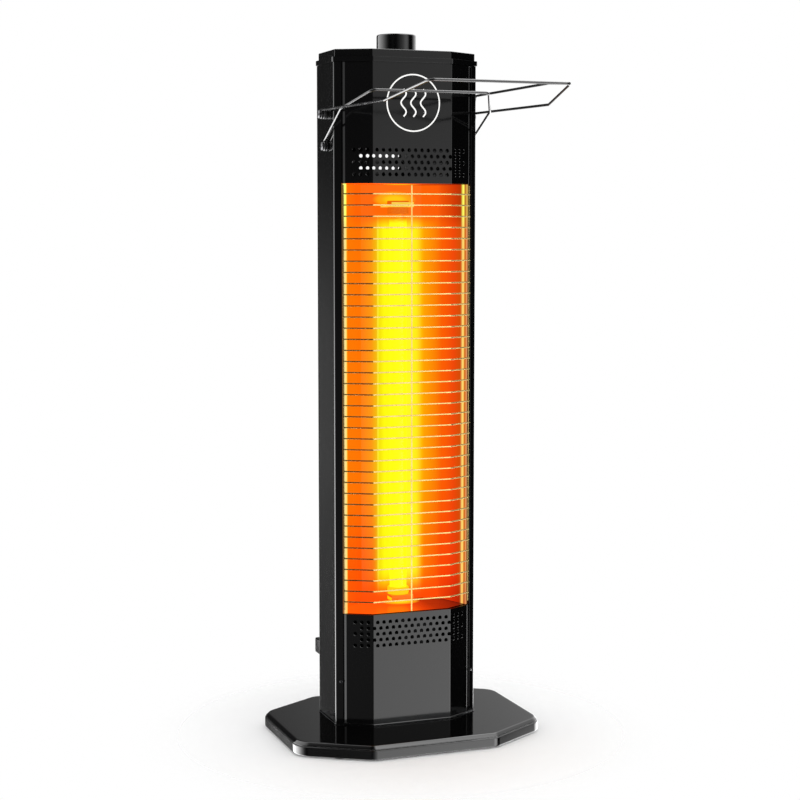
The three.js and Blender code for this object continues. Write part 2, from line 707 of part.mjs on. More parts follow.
// ---------------------------------------------------------------- wire rack
// A route through listed points, taken in equal steps of its parameter.
class WireRoute extends THREE.Curve {
  constructor(points) {
    super();
    this.points = points;
  }

  getPoint(t) {
    const place = t * (this.points.length - 1);
    const i = Math.min(Math.floor(place), this.points.length - 2);
    return this.points[i].clone().lerp(this.points[i + 1], place - i);
  }

  getTangent(t) {
    const last = this.points.length - 1;
    const i = Math.round(t * last);
    const back = this.points[Math.max(i - 1, 0)];
    const here = this.points[i];
    const next = this.points[Math.min(i + 1, last)];
    const before = here.clone().sub(back).normalize();
    const after = next.clone().sub(here).normalize();
    return before.add(after).normalize();
  }

  getUtoTmapping(u) {
    return u;
  }
}

function wire(points, sides = 6) {
  const section = new THREE.Shape();
  for (let i = 0; i < sides; i += 1) {
    const angle = (i / sides) * Math.PI * 2;
    const x = rackWire * Math.cos(angle);
    const y = rackWire * Math.sin(angle);
    if (i === 0) section.moveTo(x, y);
    else section.lineTo(x, y);
  }
  return new THREE.ExtrudeGeometry(section, {
    steps: points.length - 1, extrudePath: new WireRoute(points), curveSegments: 1,
  });
}

// Points of a bent wire: straight between its corners, with a round at each of them.
function rounded(corners, radius, steps = 3) {
  const points = [corners[0]];
  for (let i = 1; i < corners.length - 1; i += 1) {
    const here = corners[i];
    const back = corners[i - 1].clone().sub(here);
    const next = corners[i + 1].clone().sub(here);
    const reach = Math.min(radius, back.length() * 0.45, next.length() * 0.45);
    const start = here.clone().addScaledVector(back.normalize(), reach);
    const end = here.clone().addScaledVector(next.normalize(), reach);
    const round = new THREE.QuadraticBezierCurve3(start, here, end);
    points.push(...round.getPoints(steps));
  }
  points.push(corners[corners.length - 1]);
  return points;
}

// A wire's eye about a pivot at x, from its open end to where it leaves towards the knee.
function eyePoints(x, pivot, knee) {
  const run = new THREE.Vector2(knee.y - pivot.y, knee.z - pivot.z);
  const lean = Math.atan2(run.y, run.x) - Math.acos(eyeRadius / run.length());
  const steps = 9;
  const points = [];
  for (let i = 0; i <= steps; i += 1) {
    const angle = lean + eyeTurn * (1 - i / steps);
    points.push(new THREE.Vector3(
      x, pivot.y + eyeRadius * Math.cos(angle), pivot.z + eyeRadius * Math.sin(angle)));
  }
  return points;
}

const innerWireX = half + 2 * gap + innerWasher + rackWire;
const outerWireX = half + 2 * gap + outerWasher + rackWire;
const from = (pivot, run) => ({ y: pivot.y + run.y, z: pivot.z + run.z });
const innerKnee = from(innerPivot, innerKneeRun);
const innerBar = { x: innerWireX - innerNarrowing, ...from(innerPivot, innerBarRun) };
const outerKnee = from(outerPivot, outerKneeRun);
const outerBar = { x: outerWireX - outerNarrowing, ...from(outerPivot, outerBarRun) };

// A frame of wire: an eye and a leg on each side and a bar across the front.
function bail(x, pivot, knee, bar) {
  const eye = eyePoints(x, pivot, knee);
  const last = eye[eye.length - 1];
  const left = (p) => new THREE.Vector3(-p.x, p.y, p.z);
  const body = rounded([
    last,
    new THREE.Vector3(x, knee.y, knee.z),
    new THREE.Vector3(bar.x, bar.y, bar.z),
    new THREE.Vector3(-bar.x, bar.y, bar.z),
    new THREE.Vector3(-x, knee.y, knee.z),
    left(last),
  ], bendRadius);
  return [...eye.slice(0, -1), ...body, ...eye.slice(0, -1).map(left).reverse()];
}

function buildRack() {
  add('rack_inner_frame', wire(bail(innerWireX, innerPivot, innerKnee, innerBar)), darkWire);
  const outer = wire(bail(outerWireX, outerPivot, outerKnee, outerBar));
  const legTop = outerPivot.z + eyeRadius;
  const rail = wire(rounded([
    new THREE.Vector3(outerBar.x - 2, outerBar.y, outerBar.z),
    new THREE.Vector3(outerWireX, outerKnee.y, legTop + railRise),
    new THREE.Vector3(outerWireX, railBack, legTop + railRise),
    new THREE.Vector3(outerWireX, railBack + railRun, legTop),
  ], bendRadius));
  add('rack_outer_frame', join(outer, rail), darkWire);

  const pivots = [
    ['inner', innerPivot, innerWasher, innerWireX],
    ['outer', outerPivot, outerWasher, outerWireX],
  ];
  for (const [name, pivot, washer, wireX] of pivots) {
    for (const [side, where] of [[-1, 'left'], [1, 'right']]) {
      const facing = new THREE.Vector3(side, 0, 0);
      const headX = wireX + rackWire + gap;
      const length = headX - half + pivotScrew.grip;
      const spacer = ring(pivotScrew.shank + screwClearance, washerRadius, 0, washer);
      add(`${name}_pivot_washer_${where}`, spacer, brightSteel,
        [side * (half + gap), pivot.y, pivot.z], facing);
      add(`${name}_pivot_screw_${where}`, screw({ ...pivotScrew, length }), darkWire,
        [side * headX, pivot.y, pivot.z], facing);
    }
  }
}

// ---------------------------------------------------------------- assembly
buildBase();
buildTipSwitch();
buildFlange();
buildSidePanels();
buildFrontPanels();
buildBackPanel();
buildCap();
buildSwitch();
buildGrille();
buildReflector();
buildTube();
buildElectrics();
buildRack();

export default model;
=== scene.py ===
"""Fine meshes, materials, light and camera for an outdoor tower heater with a folding towel rack.

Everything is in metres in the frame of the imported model: -Y is the heater's front, +Z is up.
Sizes below are in millimetres where their names or MM say so.
"""
import json
import math

import bmesh
import bpy
from mathutils import Matrix, Vector


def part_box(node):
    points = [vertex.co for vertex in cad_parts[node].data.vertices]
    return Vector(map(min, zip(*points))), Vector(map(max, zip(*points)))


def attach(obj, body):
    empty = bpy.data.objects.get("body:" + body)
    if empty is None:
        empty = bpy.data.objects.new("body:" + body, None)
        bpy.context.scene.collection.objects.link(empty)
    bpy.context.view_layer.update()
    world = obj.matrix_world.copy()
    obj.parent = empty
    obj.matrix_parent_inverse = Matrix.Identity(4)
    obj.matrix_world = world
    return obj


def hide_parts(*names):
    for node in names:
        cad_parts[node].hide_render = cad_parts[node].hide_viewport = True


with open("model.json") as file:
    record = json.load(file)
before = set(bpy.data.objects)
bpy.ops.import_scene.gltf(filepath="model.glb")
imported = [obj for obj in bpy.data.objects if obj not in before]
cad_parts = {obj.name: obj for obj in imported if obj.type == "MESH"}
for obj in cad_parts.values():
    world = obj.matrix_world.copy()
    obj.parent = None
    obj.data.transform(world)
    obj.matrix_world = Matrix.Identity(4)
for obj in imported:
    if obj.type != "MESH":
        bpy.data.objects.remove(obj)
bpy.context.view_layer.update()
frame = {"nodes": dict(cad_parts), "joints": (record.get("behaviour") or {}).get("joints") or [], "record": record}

MM = 0.001
TOUCH = 0.02 * MM
NODES = frame["nodes"]
SCENE = bpy.context.scene
UP = Vector((0, 0, 1))


# ---- places from the frame
def node_points(node):
    return [vertex.co.copy() for vertex in NODES[node].data.vertices]


def round_facts(node):
    """An upright round node's foot on its axis, then its radius and height in mm."""
    low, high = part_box(node)
    foot = Vector(((low.x + high.x) / 2, (low.y + high.y) / 2, low.z))
    return foot, (high.x - low.x) / 2 / MM, (high.z - low.z) / MM


def pivot(joint):
    return Vector(next(j for j in frame["joints"] if j["name"] == joint)["pos_m"])


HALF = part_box("side_panel_right")[1].x
CASING_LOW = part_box("side_panel_right")[0].z
CASING_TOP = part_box("side_panel_right")[1].z
CASING_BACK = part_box("back_panel")[1].y
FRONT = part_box("front_panel_upper")[0].y
BEND_X = max(p.x for p in node_points("front_panel_upper") if p.y < FRONT + TOUCH)
SIDE_FRONT = min(p.y for p in node_points("side_panel_right") if p.x > HALF - TOUCH)
WINDOW_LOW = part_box("front_panel_lower")[1].z
WINDOW_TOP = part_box("front_panel_upper")[0].z

SHEET = 1.5 * MM
BEND = 2.6 * MM              # outer radius of a folded edge
TIGHT = 0.4 * MM             # smallest inner radius
STRIP = 9.7 * MM             # side panel's flange on the cut corner
GROOVE = 4.8 * MM
JOGGLE = 2.0 * MM
TUCKED = 3.0 * MM

CORNER = Vector((HALF, SIDE_FRONT))
BEND_POINT = Vector((BEND_X, FRONT))
ALONG = (BEND_POINT - CORNER).normalized()
INWARD = Vector((ALONG.y, -ALONG.x))


def on_corner(a, n):
    """A plan point on the right cut corner: a along it from the side, n inwards from its face."""
    return CORNER + ALONG * a + INWARD * n


def mirrored(points):
    return [Vector((-p.x, *p[1:])) for p in reversed(points)]


# ---- outlines
def left_of(start, end):
    run = (end - start).normalized()
    return Vector((-run.y, run.x))


def offset(points, distance, closed=False):
    """Plan points moved to the left of their line, with mitred corners."""
    count = len(points)
    shifted = []
    for i, point in enumerate(points):
        before = points[i - 1] if closed or i > 0 else None
        after = points[(i + 1) % count] if closed or i < count - 1 else None
        sides = []
        if before is not None:
            sides.append(left_of(before, point))
        if after is not None:
            sides.append(left_of(point, after))
        mean = sum(sides, Vector((0, 0))).normalized()
        shifted.append(point + mean * (distance / mean.dot(sides[0])))
    return shifted


def arc_at(back, here, ahead, radius, steps):
    """Points of the round that takes the corner at here."""
    to_back = (back - here).normalized()
    to_ahead = (ahead - here).normalized()
    half_angle = to_back.angle(to_ahead) / 2
    reach = min(radius / math.tan(half_angle), (back - here).length * 0.49, (ahead - here).length * 0.49)
    radius = reach * math.tan(half_angle)
    middle = here + (to_back + to_ahead).normalized() * (radius / math.sin(half_angle))
    start = here + to_back * reach - middle
    end = here + to_ahead * reach - middle
    span = math.pi - 2 * half_angle
    points = []
    for i in range(steps + 1):
        angle = span * i / steps
        share = math.sin(span - angle) / math.sin(span), math.sin(angle) / math.sin(span)
        points.append(middle + start * share[0] + end * share[1])
    return points


def fillet(points, radii, steps=4, closed=False):
    """The points with their corners rounded; radii is one number or one for each rounded corner."""
    count = len(points)
    rounded = [] if closed else [points[0]]
    places = range(count) if closed else range(1, count - 1)
    for order, i in enumerate(places):
        radius = radii[order] if isinstance(radii, list) else radii
        rounded += arc_at(points[i - 1], points[i], points[(i + 1) % count], radius, steps)
    return rounded if closed else rounded + [points[-1]]


def casing_outline(grow, radius=BEND):
    right = [BEND_POINT, CORNER, Vector((HALF, CASING_BACK))]
    grown = offset(mirrored(right) + right, -grow, closed=True)
    return fillet(grown, max(radius + grow, TIGHT), 5, closed=True)


BASE_LOW, BASE_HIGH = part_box("base_tray")
BASE_CORNER_X = 84 * MM
BASE_CORNER_Y = 52 * MM
SIDE_ROUND = 28.7 * MM
FRONT_ROUND = 18.6 * MM


def base_outline(inset):
    x = BASE_HIGH.x
    y = BASE_HIGH.y
    right = [
        Vector((x - BASE_CORNER_X, -y)), Vector((x, -y + BASE_CORNER_Y)),
        Vector((x, y - BASE_CORNER_Y)), Vector((x - BASE_CORNER_X, y)),
    ]
    corners = offset(right + mirrored(right), inset, closed=True)
    radii = [FRONT_ROUND, SIDE_ROUND, SIDE_ROUND, FRONT_ROUND] * 2
    return fillet(corners, [r - inset for r in radii], 8, closed=True)


# ---- meshes
def add_faces(bm, rows, closed=True):
    """Quads between neighbouring rows of vertices."""
    count = len(rows[0])
    for low, high in zip(rows, rows[1:]):
        for i in range(count if closed else count - 1):
            j = (i + 1) % count
            bm.faces.new((low[i], low[j], high[j], high[i]))


def loft(rings):
    """A closed solid through rings of 3-D points, with its first and last ring filled."""
    bm = bmesh.new()
    rows = [[bm.verts.new(p) for p in ring] for ring in rings]
    add_faces(bm, rows)
    bm.faces.new(list(reversed(rows[0])))
    bm.faces.new(rows[-1])
    return tidy_mesh(bm)


def tidy_mesh(bm):
    bmesh.ops.recalc_face_normals(bm, faces=bm.faces)
    return bm


def layered(outline, layers):
    """A loft of plan outlines: layers are (size passed to outline, height in mm)."""
    return loft([[Vector((p.x, p.y, z * MM)) for p in outline(size * MM)] for size, z in layers])


def circles(bm, profile, segments):
    """One ring of vertices about Z for each [radius, height] pair in mm."""
    angles = [2 * math.pi * i / segments for i in range(segments)]
    rows = []
    for radius, height in profile:
        rows.append([bm.verts.new((radius * MM * math.cos(a), radius * MM * math.sin(a), height * MM))
                     for a in angles])
    return rows


def turned(profile, segments=48):
    """A solid turned about Z from [radius, height] pairs in mm that start and end on the axis."""
    bm = bmesh.new()
    low = bm.verts.new((0, 0, profile[0][1] * MM))
    high = bm.verts.new((0, 0, profile[-1][1] * MM))
    rows = circles(bm, profile[1:-1], segments)
    add_faces(bm, rows)
    for i in range(segments):
        j = (i + 1) % segments
        bm.faces.new((low, rows[0][j], rows[0][i]))
        bm.faces.new((high, rows[-1][i], rows[-1][j]))
    return tidy_mesh(bm)


def ring_solid(profile, segments=48):
    """A ring turned about Z from a closed profile of [radius, height] pairs in mm."""
    bm = bmesh.new()
    rows = circles(bm, profile, segments)
    add_faces(bm, rows + rows[:1])
    return tidy_mesh(bm)


def prism(near, far, low, high, upright=False):
    """A solid between two plan lines of the same number of points, from low to high.

    With upright, the lines lie in the X-Z plane and the solid reaches from y = low to y = high.
    """
    bm = bmesh.new()
    rows = []
    for line, reach in ((near, low), (near, high), (far, high), (far, low)):
        rows.append([bm.verts.new((p.x, reach, p.y) if upright else (p.x, p.y, reach)) for p in line])
    add_faces(bm, rows + rows[:1], closed=False)
    for end in (0, -1):
        bm.faces.new([row[end] for row in rows])
    return tidy_mesh(bm)


def soften(bm, width=0.3 * MM, angle=50, segments=2):
    """Rounds the edges that are sharper than an angle in degrees."""
    sharp = [e for e in bm.edges if len(e.link_faces) == 2 and e.calc_face_angle() > math.radians(angle)]
    bmesh.ops.bevel(bm, geom=sharp, offset=width, segments=segments, profile=0.5, affect="EDGES",
                    clamp_overlap=True)
    return bm


def bent_sheet(points, thickness, low, high, bend=BEND):
    """Folded sheet metal: the line is one face of it and its thickness is to the line's left."""
    turns = []
    for i in range(1, len(points) - 1):
        turns.append(left_of(points[i - 1], points[i]).dot(points[i + 1] - points[i]) > 0)
    inside = max(bend - thickness, TIGHT)
    near = fillet(points, [bend if left else inside for left in turns])
    far = fillet(offset(points, thickness), [inside if left else bend for left in turns])
    return soften(prism(near, far, low, high))


def block(low, high, edge=0.5):
    """A box with softened edges; edge is in mm."""
    bm = bmesh.new()
    bmesh.ops.create_cube(bm, size=1)
    low, high = Vector(low), Vector(high)
    for vertex in bm.verts:
        vertex.co = Vector(low[k] + (vertex.co[k] + 0.5) * (high[k] - low[k]) for k in range(3))
    return soften(bm, edge * MM, 50, 3)


def sweep(points, radius, sides=12, closed=False):
    """A round wire along 3-D points, with flat ends."""
    count = len(points)
    bm = bmesh.new()
    rows = []
    across = None
    for i, point in enumerate(points):
        back = points[i - 1] if closed or i > 0 else point
        ahead = points[(i + 1) % count] if closed or i < count - 1 else point
        run = (ahead - back).normalized()
        if across is None:
            across = run.orthogonal().normalized()
        across = (across - run * across.dot(run)).normalized()
        other = run.cross(across)
        angles = [2 * math.pi * k / sides for k in range(sides)]
        rows.append([bm.verts.new(point + across * (radius * math.cos(a)) + other * (radius * math.sin(a)))
                     for a in angles])
    if closed:
        add_faces(bm, rows + rows[:1])
    else:
        add_faces(bm, rows)
        bm.faces.new(list(reversed(rows[0])))
        bm.faces.new(rows[-1])
    return tidy_mesh(bm)


def finished(bm, name):
    """The mesh as Blender keeps it, and the editable one let go."""
    mesh = bpy.data.meshes.new(name)
    bm.to_mesh(mesh)
    bm.free()
    return mesh


def in_scene(name, data):
    obj = bpy.data.objects.new(name, data)
    SCENE.collection.objects.link(obj)
    return obj


def joined(*parts):
    """Several meshes as one."""
    whole = bmesh.new()
    for part in parts:
        copy = finished(part, "part")
        whole.from_mesh(copy)
        bpy.data.meshes.remove(copy)
    return whole


def moved(bm, place=(0, 0, 0), facing=UP):
    """The mesh turned so that its +Z points along facing, then moved to a place."""
    turn = UP.rotation_difference(Vector(facing)).to_matrix().to_4x4()
    bmesh.ops.transform(bm, matrix=Matrix.Translation(place) @ turn, verts=bm.verts)
    return bm


def flipped(bm):
    """The mesh mirrored in X."""
    bmesh.ops.transform(bm, matrix=Matrix.Diagonal((-1, 1, 1, 1)), verts=bm.verts)
    bmesh.ops.reverse_faces(bm, faces=bm.faces)
    return bm


def piece(name, bm, material, node=None, body="tower", sharp=35, flat_faces=True):
    """A finished object that rides on a body and stands for a CAD node, if one is named."""
    mesh = finished(bm, name)
    mesh.materials.append(MATERIALS[material])
    for polygon in mesh.polygons:
        polygon.use_smooth = True
    mesh.set_sharp_from_angle(angle=math.radians(sharp))
    obj = in_scene(name, mesh)
    if flat_faces:
        weighted = obj.modifiers.new("flat faces stay flat", "WEIGHTED_NORMAL")
        weighted.keep_sharp = True
    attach(obj, body)
    if node:
        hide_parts(node)
    return obj


def cut(bm, tools):
    """The mesh with the tools' volumes taken out of it."""
    body, tool = (in_scene("cut", finished(source, "cut")) for source in (bm, tools))
    boolean = body.modifiers.new("cut", "BOOLEAN")
    boolean.object = tool
    boolean.operation = "DIFFERENCE"
    boolean.solver = "EXACT"
    graph = bpy.context.evaluated_depsgraph_get()
    result = bmesh.new()
    result.from_mesh(body.evaluated_get(graph).to_mesh())
    for obj in (body, tool):
        mesh = obj.data
        bpy.data.objects.remove(obj)
        bpy.data.meshes.remove(mesh)
    return result


# ---- materials
MATERIALS = {}
STREAKS = (1, 1, 12)         # noise stretched to fine brush marks


class Tree:
    """Adds linked nodes to a node tree."""

    def __init__(self, tree):
        self.tree = tree

    def node(self, kind, **settings):
        made = self.tree.nodes.new(kind)
        for key, value in settings.items():
            setattr(made, key, value)
        return made

    def link(self, output, node, socket):
        self.tree.links.new(output, node.inputs[socket])

    def ramp(self, factor, stops, mode="LINEAR"):
        made = self.node("ShaderNodeValToRGB")
        made.color_ramp.interpolation = mode
        elements = made.color_ramp.elements
        while len(elements) > 1:
            elements.remove(elements[-1])
        for i, (position, color) in enumerate(stops):
            element = elements[0] if i == 0 else elements.new(position)
            element.position = position
            element.color = (*color, 1)
        self.link(factor, made, "Fac")
        return made.outputs["Color"]

    def span(self, factor, low, high, start=0.0, end=1.0, smooth=False):
        made = self.node("ShaderNodeMapRange", interpolation_type="SMOOTHSTEP" if smooth else "LINEAR")
        for key, value in (("From Min", low), ("From Max", high), ("To Min", start), ("To Max", end)):
            made.inputs[key].default_value = value
        self.link(factor, made, "Value")
        return made.outputs["Result"]

    def feed(self, socket, value):
        """Puts a number or a colour in a socket, or links an output to it."""
        if isinstance(value, (int, float)):
            socket.default_value = value
        elif isinstance(value, tuple):
            socket.default_value = (*value, 1)
        else:
            self.tree.links.new(value, socket)

    def math(self, operation, first, second):
        made = self.node("ShaderNodeMath", operation=operation)
        self.feed(made.inputs[0], first)
        self.feed(made.inputs[1], second)
        return made.outputs["Value"]

    def mix(self, factor, first, second, blend="MIX"):
        made = self.node("ShaderNodeMix", data_type="RGBA", blend_type=blend)
        # For colours the mix node's own inputs are 6 and 7, and its output is 2.
        for socket, value in ((0, factor), (6, first), (7, second)):
            self.feed(made.inputs[socket], value)
        return made.outputs[2]


class Shader(Tree):
    """A material's node tree, with the object's own coordinates at hand."""

    def __init__(self, name):
        material = bpy.data.materials.new(name)
        material.use_nodes = True
        MATERIALS[name] = material
        super().__init__(material.node_tree)
        self.surface = self.tree.nodes["Principled BSDF"]
        self.place = self.node("ShaderNodeTexCoord").outputs["Object"]

    def put(self, **values):
        for key, value in values.items():
            socket = key.replace("_", " ").title().replace("Ior", "IOR")
            self.surface.inputs[socket].default_value = value

    def noise(self, scale, detail=3.0, stretch=(1, 1, 1)):
        mapping = self.node("ShaderNodeMapping")
        mapping.inputs["Scale"].default_value = stretch
        self.link(self.place, mapping, "Vector")
        made = self.node("ShaderNodeTexNoise")
        made.inputs["Scale"].default_value = scale
        made.inputs["Detail"].default_value = detail
        self.link(mapping.outputs["Vector"], made, "Vector")
        return made.outputs["Fac"]

    def skin(self, pattern, dark, light, smooth, rough, stops=(0.3, 0.7)):
        """A colour between two tones and a roughness between two values, both by one pattern."""
        self.tint(pattern, dark, light, stops)
        self.link(self.span(pattern, 0.2, 0.8, smooth, rough), self.surface, "Roughness")

    def tint(self, pattern, dark, light, stops=(0.3, 0.7), socket="Base Color"):
        self.link(self.ramp(pattern, list(zip(stops, (dark, light)))), self.surface, socket)

    def bump(self, height, strength, distance):
        made = self.node("ShaderNodeBump")
        made.inputs["Strength"].default_value = strength
        made.inputs["Distance"].default_value = distance
        self.link(height, made, "Height")
        self.link(made.outputs["Normal"], self.surface, "Normal")

    def axis(self, name):
        parts = self.node("ShaderNodeSeparateXYZ")
        self.link(self.place, parts, "Vector")
        return parts.outputs[name]

    def upper_half(self):
        return self.math("GREATER_THAN", self.axis("Z"), (WINDOW_LOW + WINDOW_TOP) / 2)

    def spot(self, first, second, at, reach):
        """The squared distance from a spot at two coordinates, which is 1 on an ellipse round it."""
        squares = []
        for value, place, size in zip((first, second), at, reach):
            share = self.math("DIVIDE", self.math("SUBTRACT", value, place), size)
            squares.append(self.math("POWER", share, 2.0))
        return self.math("ADD", *squares)


def gloss_black_paint():
    """Black stove enamel: a faint orange peel, cloudy roughness and a trace of dust."""
    s = Shader("gloss_black_paint")
    cloud = s.noise(9, 4)
    s.tint(cloud, (0.0012, 0.0012, 0.0013), (0.0022, 0.0022, 0.0023))
    s.link(s.span(s.mix(0.25, cloud, s.noise(900, 2)), 0.2, 0.8, 0.05, 0.11), s.surface, "Roughness")
    s.put(ior=1.5)
    s.bump(s.noise(420, 2), 0.03, 0.0002)


def black_plastic():
    """Gloss moulded plastic with a faint flow texture."""
    s = Shader("black_plastic")
    s.skin(s.noise(14, 3), (0.0012, 0.0012, 0.0014), (0.0024, 0.0024, 0.0026), 0.1, 0.18)
    s.put(ior=1.58)
    s.bump(s.noise(700, 2, (1, 1, 0.3)), 0.05, 0.0002)


def plain(name, pattern, dark, light, rough, bump=None, stops=(0.3, 0.7), **settings):
    """A material with one pattern for its colour and roughness, and one for its bump.

    pattern is the noise's scale and detail, and bump is scale, detail, strength and distance.
    """
    s = Shader(name)
    s.skin(s.noise(*pattern), dark, light, *rough, stops)
    s.put(**settings)
    if bump:
        scale, detail, strength, distance = bump
        s.bump(s.noise(scale, detail), strength, distance)
    return s


def plain_materials():
    # gloss coated wire with small ripples along it
    plain("black_wire", (60, 3), (0.006, 0.006, 0.0065), (0.011, 0.011, 0.012), (0.12, 0.26),
          (1500, 2, 0.08, 0.0002), ior=1.6)
    # bright plated wire, slightly tinted yellow as painted warm light from the tube, and the grille's upright,
    # which glows with painted light from the tube
    for name in ("chrome_wire", "lit_wire"):
        wire = plain(name, (80, 3), (0.4, 0.3, 0.1), (0.55, 0.42, 0.17), (0.14, 0.3),
                     (1800, 2, 0.06, 0.0002), (0.25, 0.75), metallic=1.0)
    # painted light: the upright's emission stands in for the tube's light falling on it
    wire.tint(wire.noise(80, 3), (1.0, 0.6, 0.12), (1.0, 0.75, 0.25), (0.25, 0.75), "Emission Color")
    wire.put(emission_strength=0.7)
    # blackened steel with bright wear in places
    plain("black_screw", (350, 3), (0.02, 0.02, 0.022), (0.16, 0.16, 0.165), (0.22, 0.4),
          (2500, 2, 0.08, 0.0001), (0.35, 0.8), metallic=1.0)
    # the rack pivots' washers: dark zinc plate with brighter rubbed patches
    plain("dull_steel", (260, 3), (0.05, 0.05, 0.052), (0.2, 0.2, 0.205), (0.28, 0.45),
          (260, 3, 0.06, 0.0001), (0.3, 0.8), metallic=1.0)
    # unglazed, with fine specks
    plain("white_ceramic", (700, 3), (0.72, 0.66, 0.55), (0.86, 0.82, 0.74), (0.45, 0.7),
          (700, 3, 0.2, 0.0002), (0.3, 0.65))
    plain("black_rubber", (1200, 3), (0.01, 0.01, 0.01), (0.022, 0.022, 0.021), (0.6, 0.8),
          (1200, 3, 0.25, 0.0002))
    plain("red_plastic", (200, 3), (0.42, 0.03, 0.02), (0.55, 0.05, 0.03), (0.35, 0.5),
          (200, 3, 0.05, 0.0002))
    # enamel ink of the emblem and the knob's pointer, with a faint painted glow
    plain("white_print", (900, 3), (0.78, 0.78, 0.76), (0.92, 0.92, 0.9), (0.35, 0.5),
          stops=(0.3, 0.6), emission_color=(1, 1, 0.98, 1), emission_strength=0.25)


def bright_steel():
    """Zinc plated sheet with brushed streaks and cloudy patches."""
    s = Shader("bright_steel")
    streak = s.noise(90, 4, STREAKS)
    s.tint(streak, (0.42, 0.43, 0.44), (0.62, 0.63, 0.64))
    s.link(s.span(s.noise(40, 3), 0.2, 0.8, 0.2, 0.38), s.surface, "Roughness")
    s.put(metallic=1.0)
    s.bump(streak, 0.05, 0.0002)


def hot_steel():
    """The tube's clips, with painted light: yellow at the top as if lit by the tube, red at the bottom."""
    s = Shader("hot_steel")
    streak = s.noise(90, 4, STREAKS)
    s.skin(streak, (0.12, 0.05, 0.006), (0.18, 0.08, 0.012), 0.2, 0.38)
    lower = s.ramp(streak, [(0.3, (1.0, 0.1, 0.003)), (0.7, (1.0, 0.14, 0.01))])
    upper = s.ramp(streak, [(0.3, (1.0, 0.65, 0.03)), (0.7, (1.0, 0.85, 0.15))])
    # painted light: the clips' emission stands in for the tube's light on them
    s.link(s.mix(s.upper_half(), lower, upper), s.surface, "Emission Color")
    s.put(emission_strength=0.8, metallic=1.0)
    s.bump(streak, 0.05, 0.0002)


def hot_ceramic():
    """The tube's ceramic ends with painted light from the element: yellow at the bottom, orange at the top."""
    s = Shader("hot_ceramic")
    speck = s.noise(700, 3)
    # painted light: the base colour is tinted orange and the emission glows, as if the element lit the ceramic
    s.skin(speck, (0.22, 0.05, 0.004), (0.28, 0.07, 0.006), 0.45, 0.7, (0.3, 0.65))
    lower = s.ramp(speck, [(0.3, (1.0, 0.7, 0.004)), (0.65, (1.0, 0.8, 0.006))])
    upper = s.ramp(speck, [(0.3, (0.7, 0.1, 0.001)), (0.65, (0.8, 0.16, 0.002))])
    s.link(s.mix(s.upper_half(), lower, upper), s.surface, "Emission Color")
    s.put(emission_strength=0.8, specular_ior_level=0.1)
    s.bump(speck, 0.2, 0.0002)


# Colours of the painted light across the trough (glow, painted highlights and the tube's painted reflection), at
# places in mm to the right of its middle.
TROUGH_HALF = 88
UNLIT = (0.02, 0.005, 0.002)
TROUGH_GLOW = [
    # the left lip's painted highlight
    (-88, UNLIT), (-85.4, (0.3, 0.15, 0.05)), (-84.6, (1.0, 0.8, 0.4)), (-81, (1.0, 0.7, 0.1)),
    # painted orange glow on the left side
    (-79, (0.9, 0.3, 0.01)), (-64, (0.95, 0.17, 0.001)), (-44, (0.97, 0.17, 0.001)),
    (-28, (0.95, 0.3, 0.001)), (-20.5, (0.88, 0.5, 0.002)),
    # the tube's painted yellow reflection, with a thin painted highlight at its left
    (-19, (1.0, 0.84, 0.04)), (-17, (0.89, 0.74, 0.003)), (-10, (1.0, 0.96, 0.006)), (27, (1.0, 0.93, 0.006)),
    # painted glow, orange to red, on the right
    (35, (1.0, 0.8, 0.002)), (45, (1.0, 0.36, 0.001)), (58, (0.97, 0.21, 0.001)), (66, (0.95, 0.1, 0.001)),
    (73, (0.85, 0.05, 0.003)), (78.2, (0.6, 0.06, 0.002)),
    # the right lip's painted highlight and a thin painted highlight line beside it
    (78.8, (1.0, 0.75, 0.2)), (79.9, (1.0, 0.6, 0.12)), (80.4, (0.6, 0.12, 0.006)),
    (81, (0.62, 0.12, 0.01)), (82, (0.9, 0.4, 0.16)), (83, (0.4, 0.15, 0.05)), (84.4, UNLIT),
]
# Painted light towards the two ends of the trough: redder glow and the lips' painted highlights.
END_GLOW = [
    (-85.4, (0.3, 0.1, 0.03)), (-84.6, (1.0, 0.7, 0.3)), (-81, (1.0, 0.6, 0.08)),
    (-79, (0.95, 0.12, 0.002)), (-50, (1.0, 0.075, 0.002)), (20, (1.0, 0.085, 0.002)),
    (60, (0.98, 0.065, 0.002)), (74, (0.6, 0.02, 0.002)), (78.2, (0.4, 0.02, 0.002)),
    (78.8, (1.0, 0.65, 0.15)), (79.9, (1.0, 0.5, 0.1)), (80.4, (0.4, 0.05, 0.006)),
    (82, (0.8, 0.3, 0.1)), (84.4, UNLIT),
]


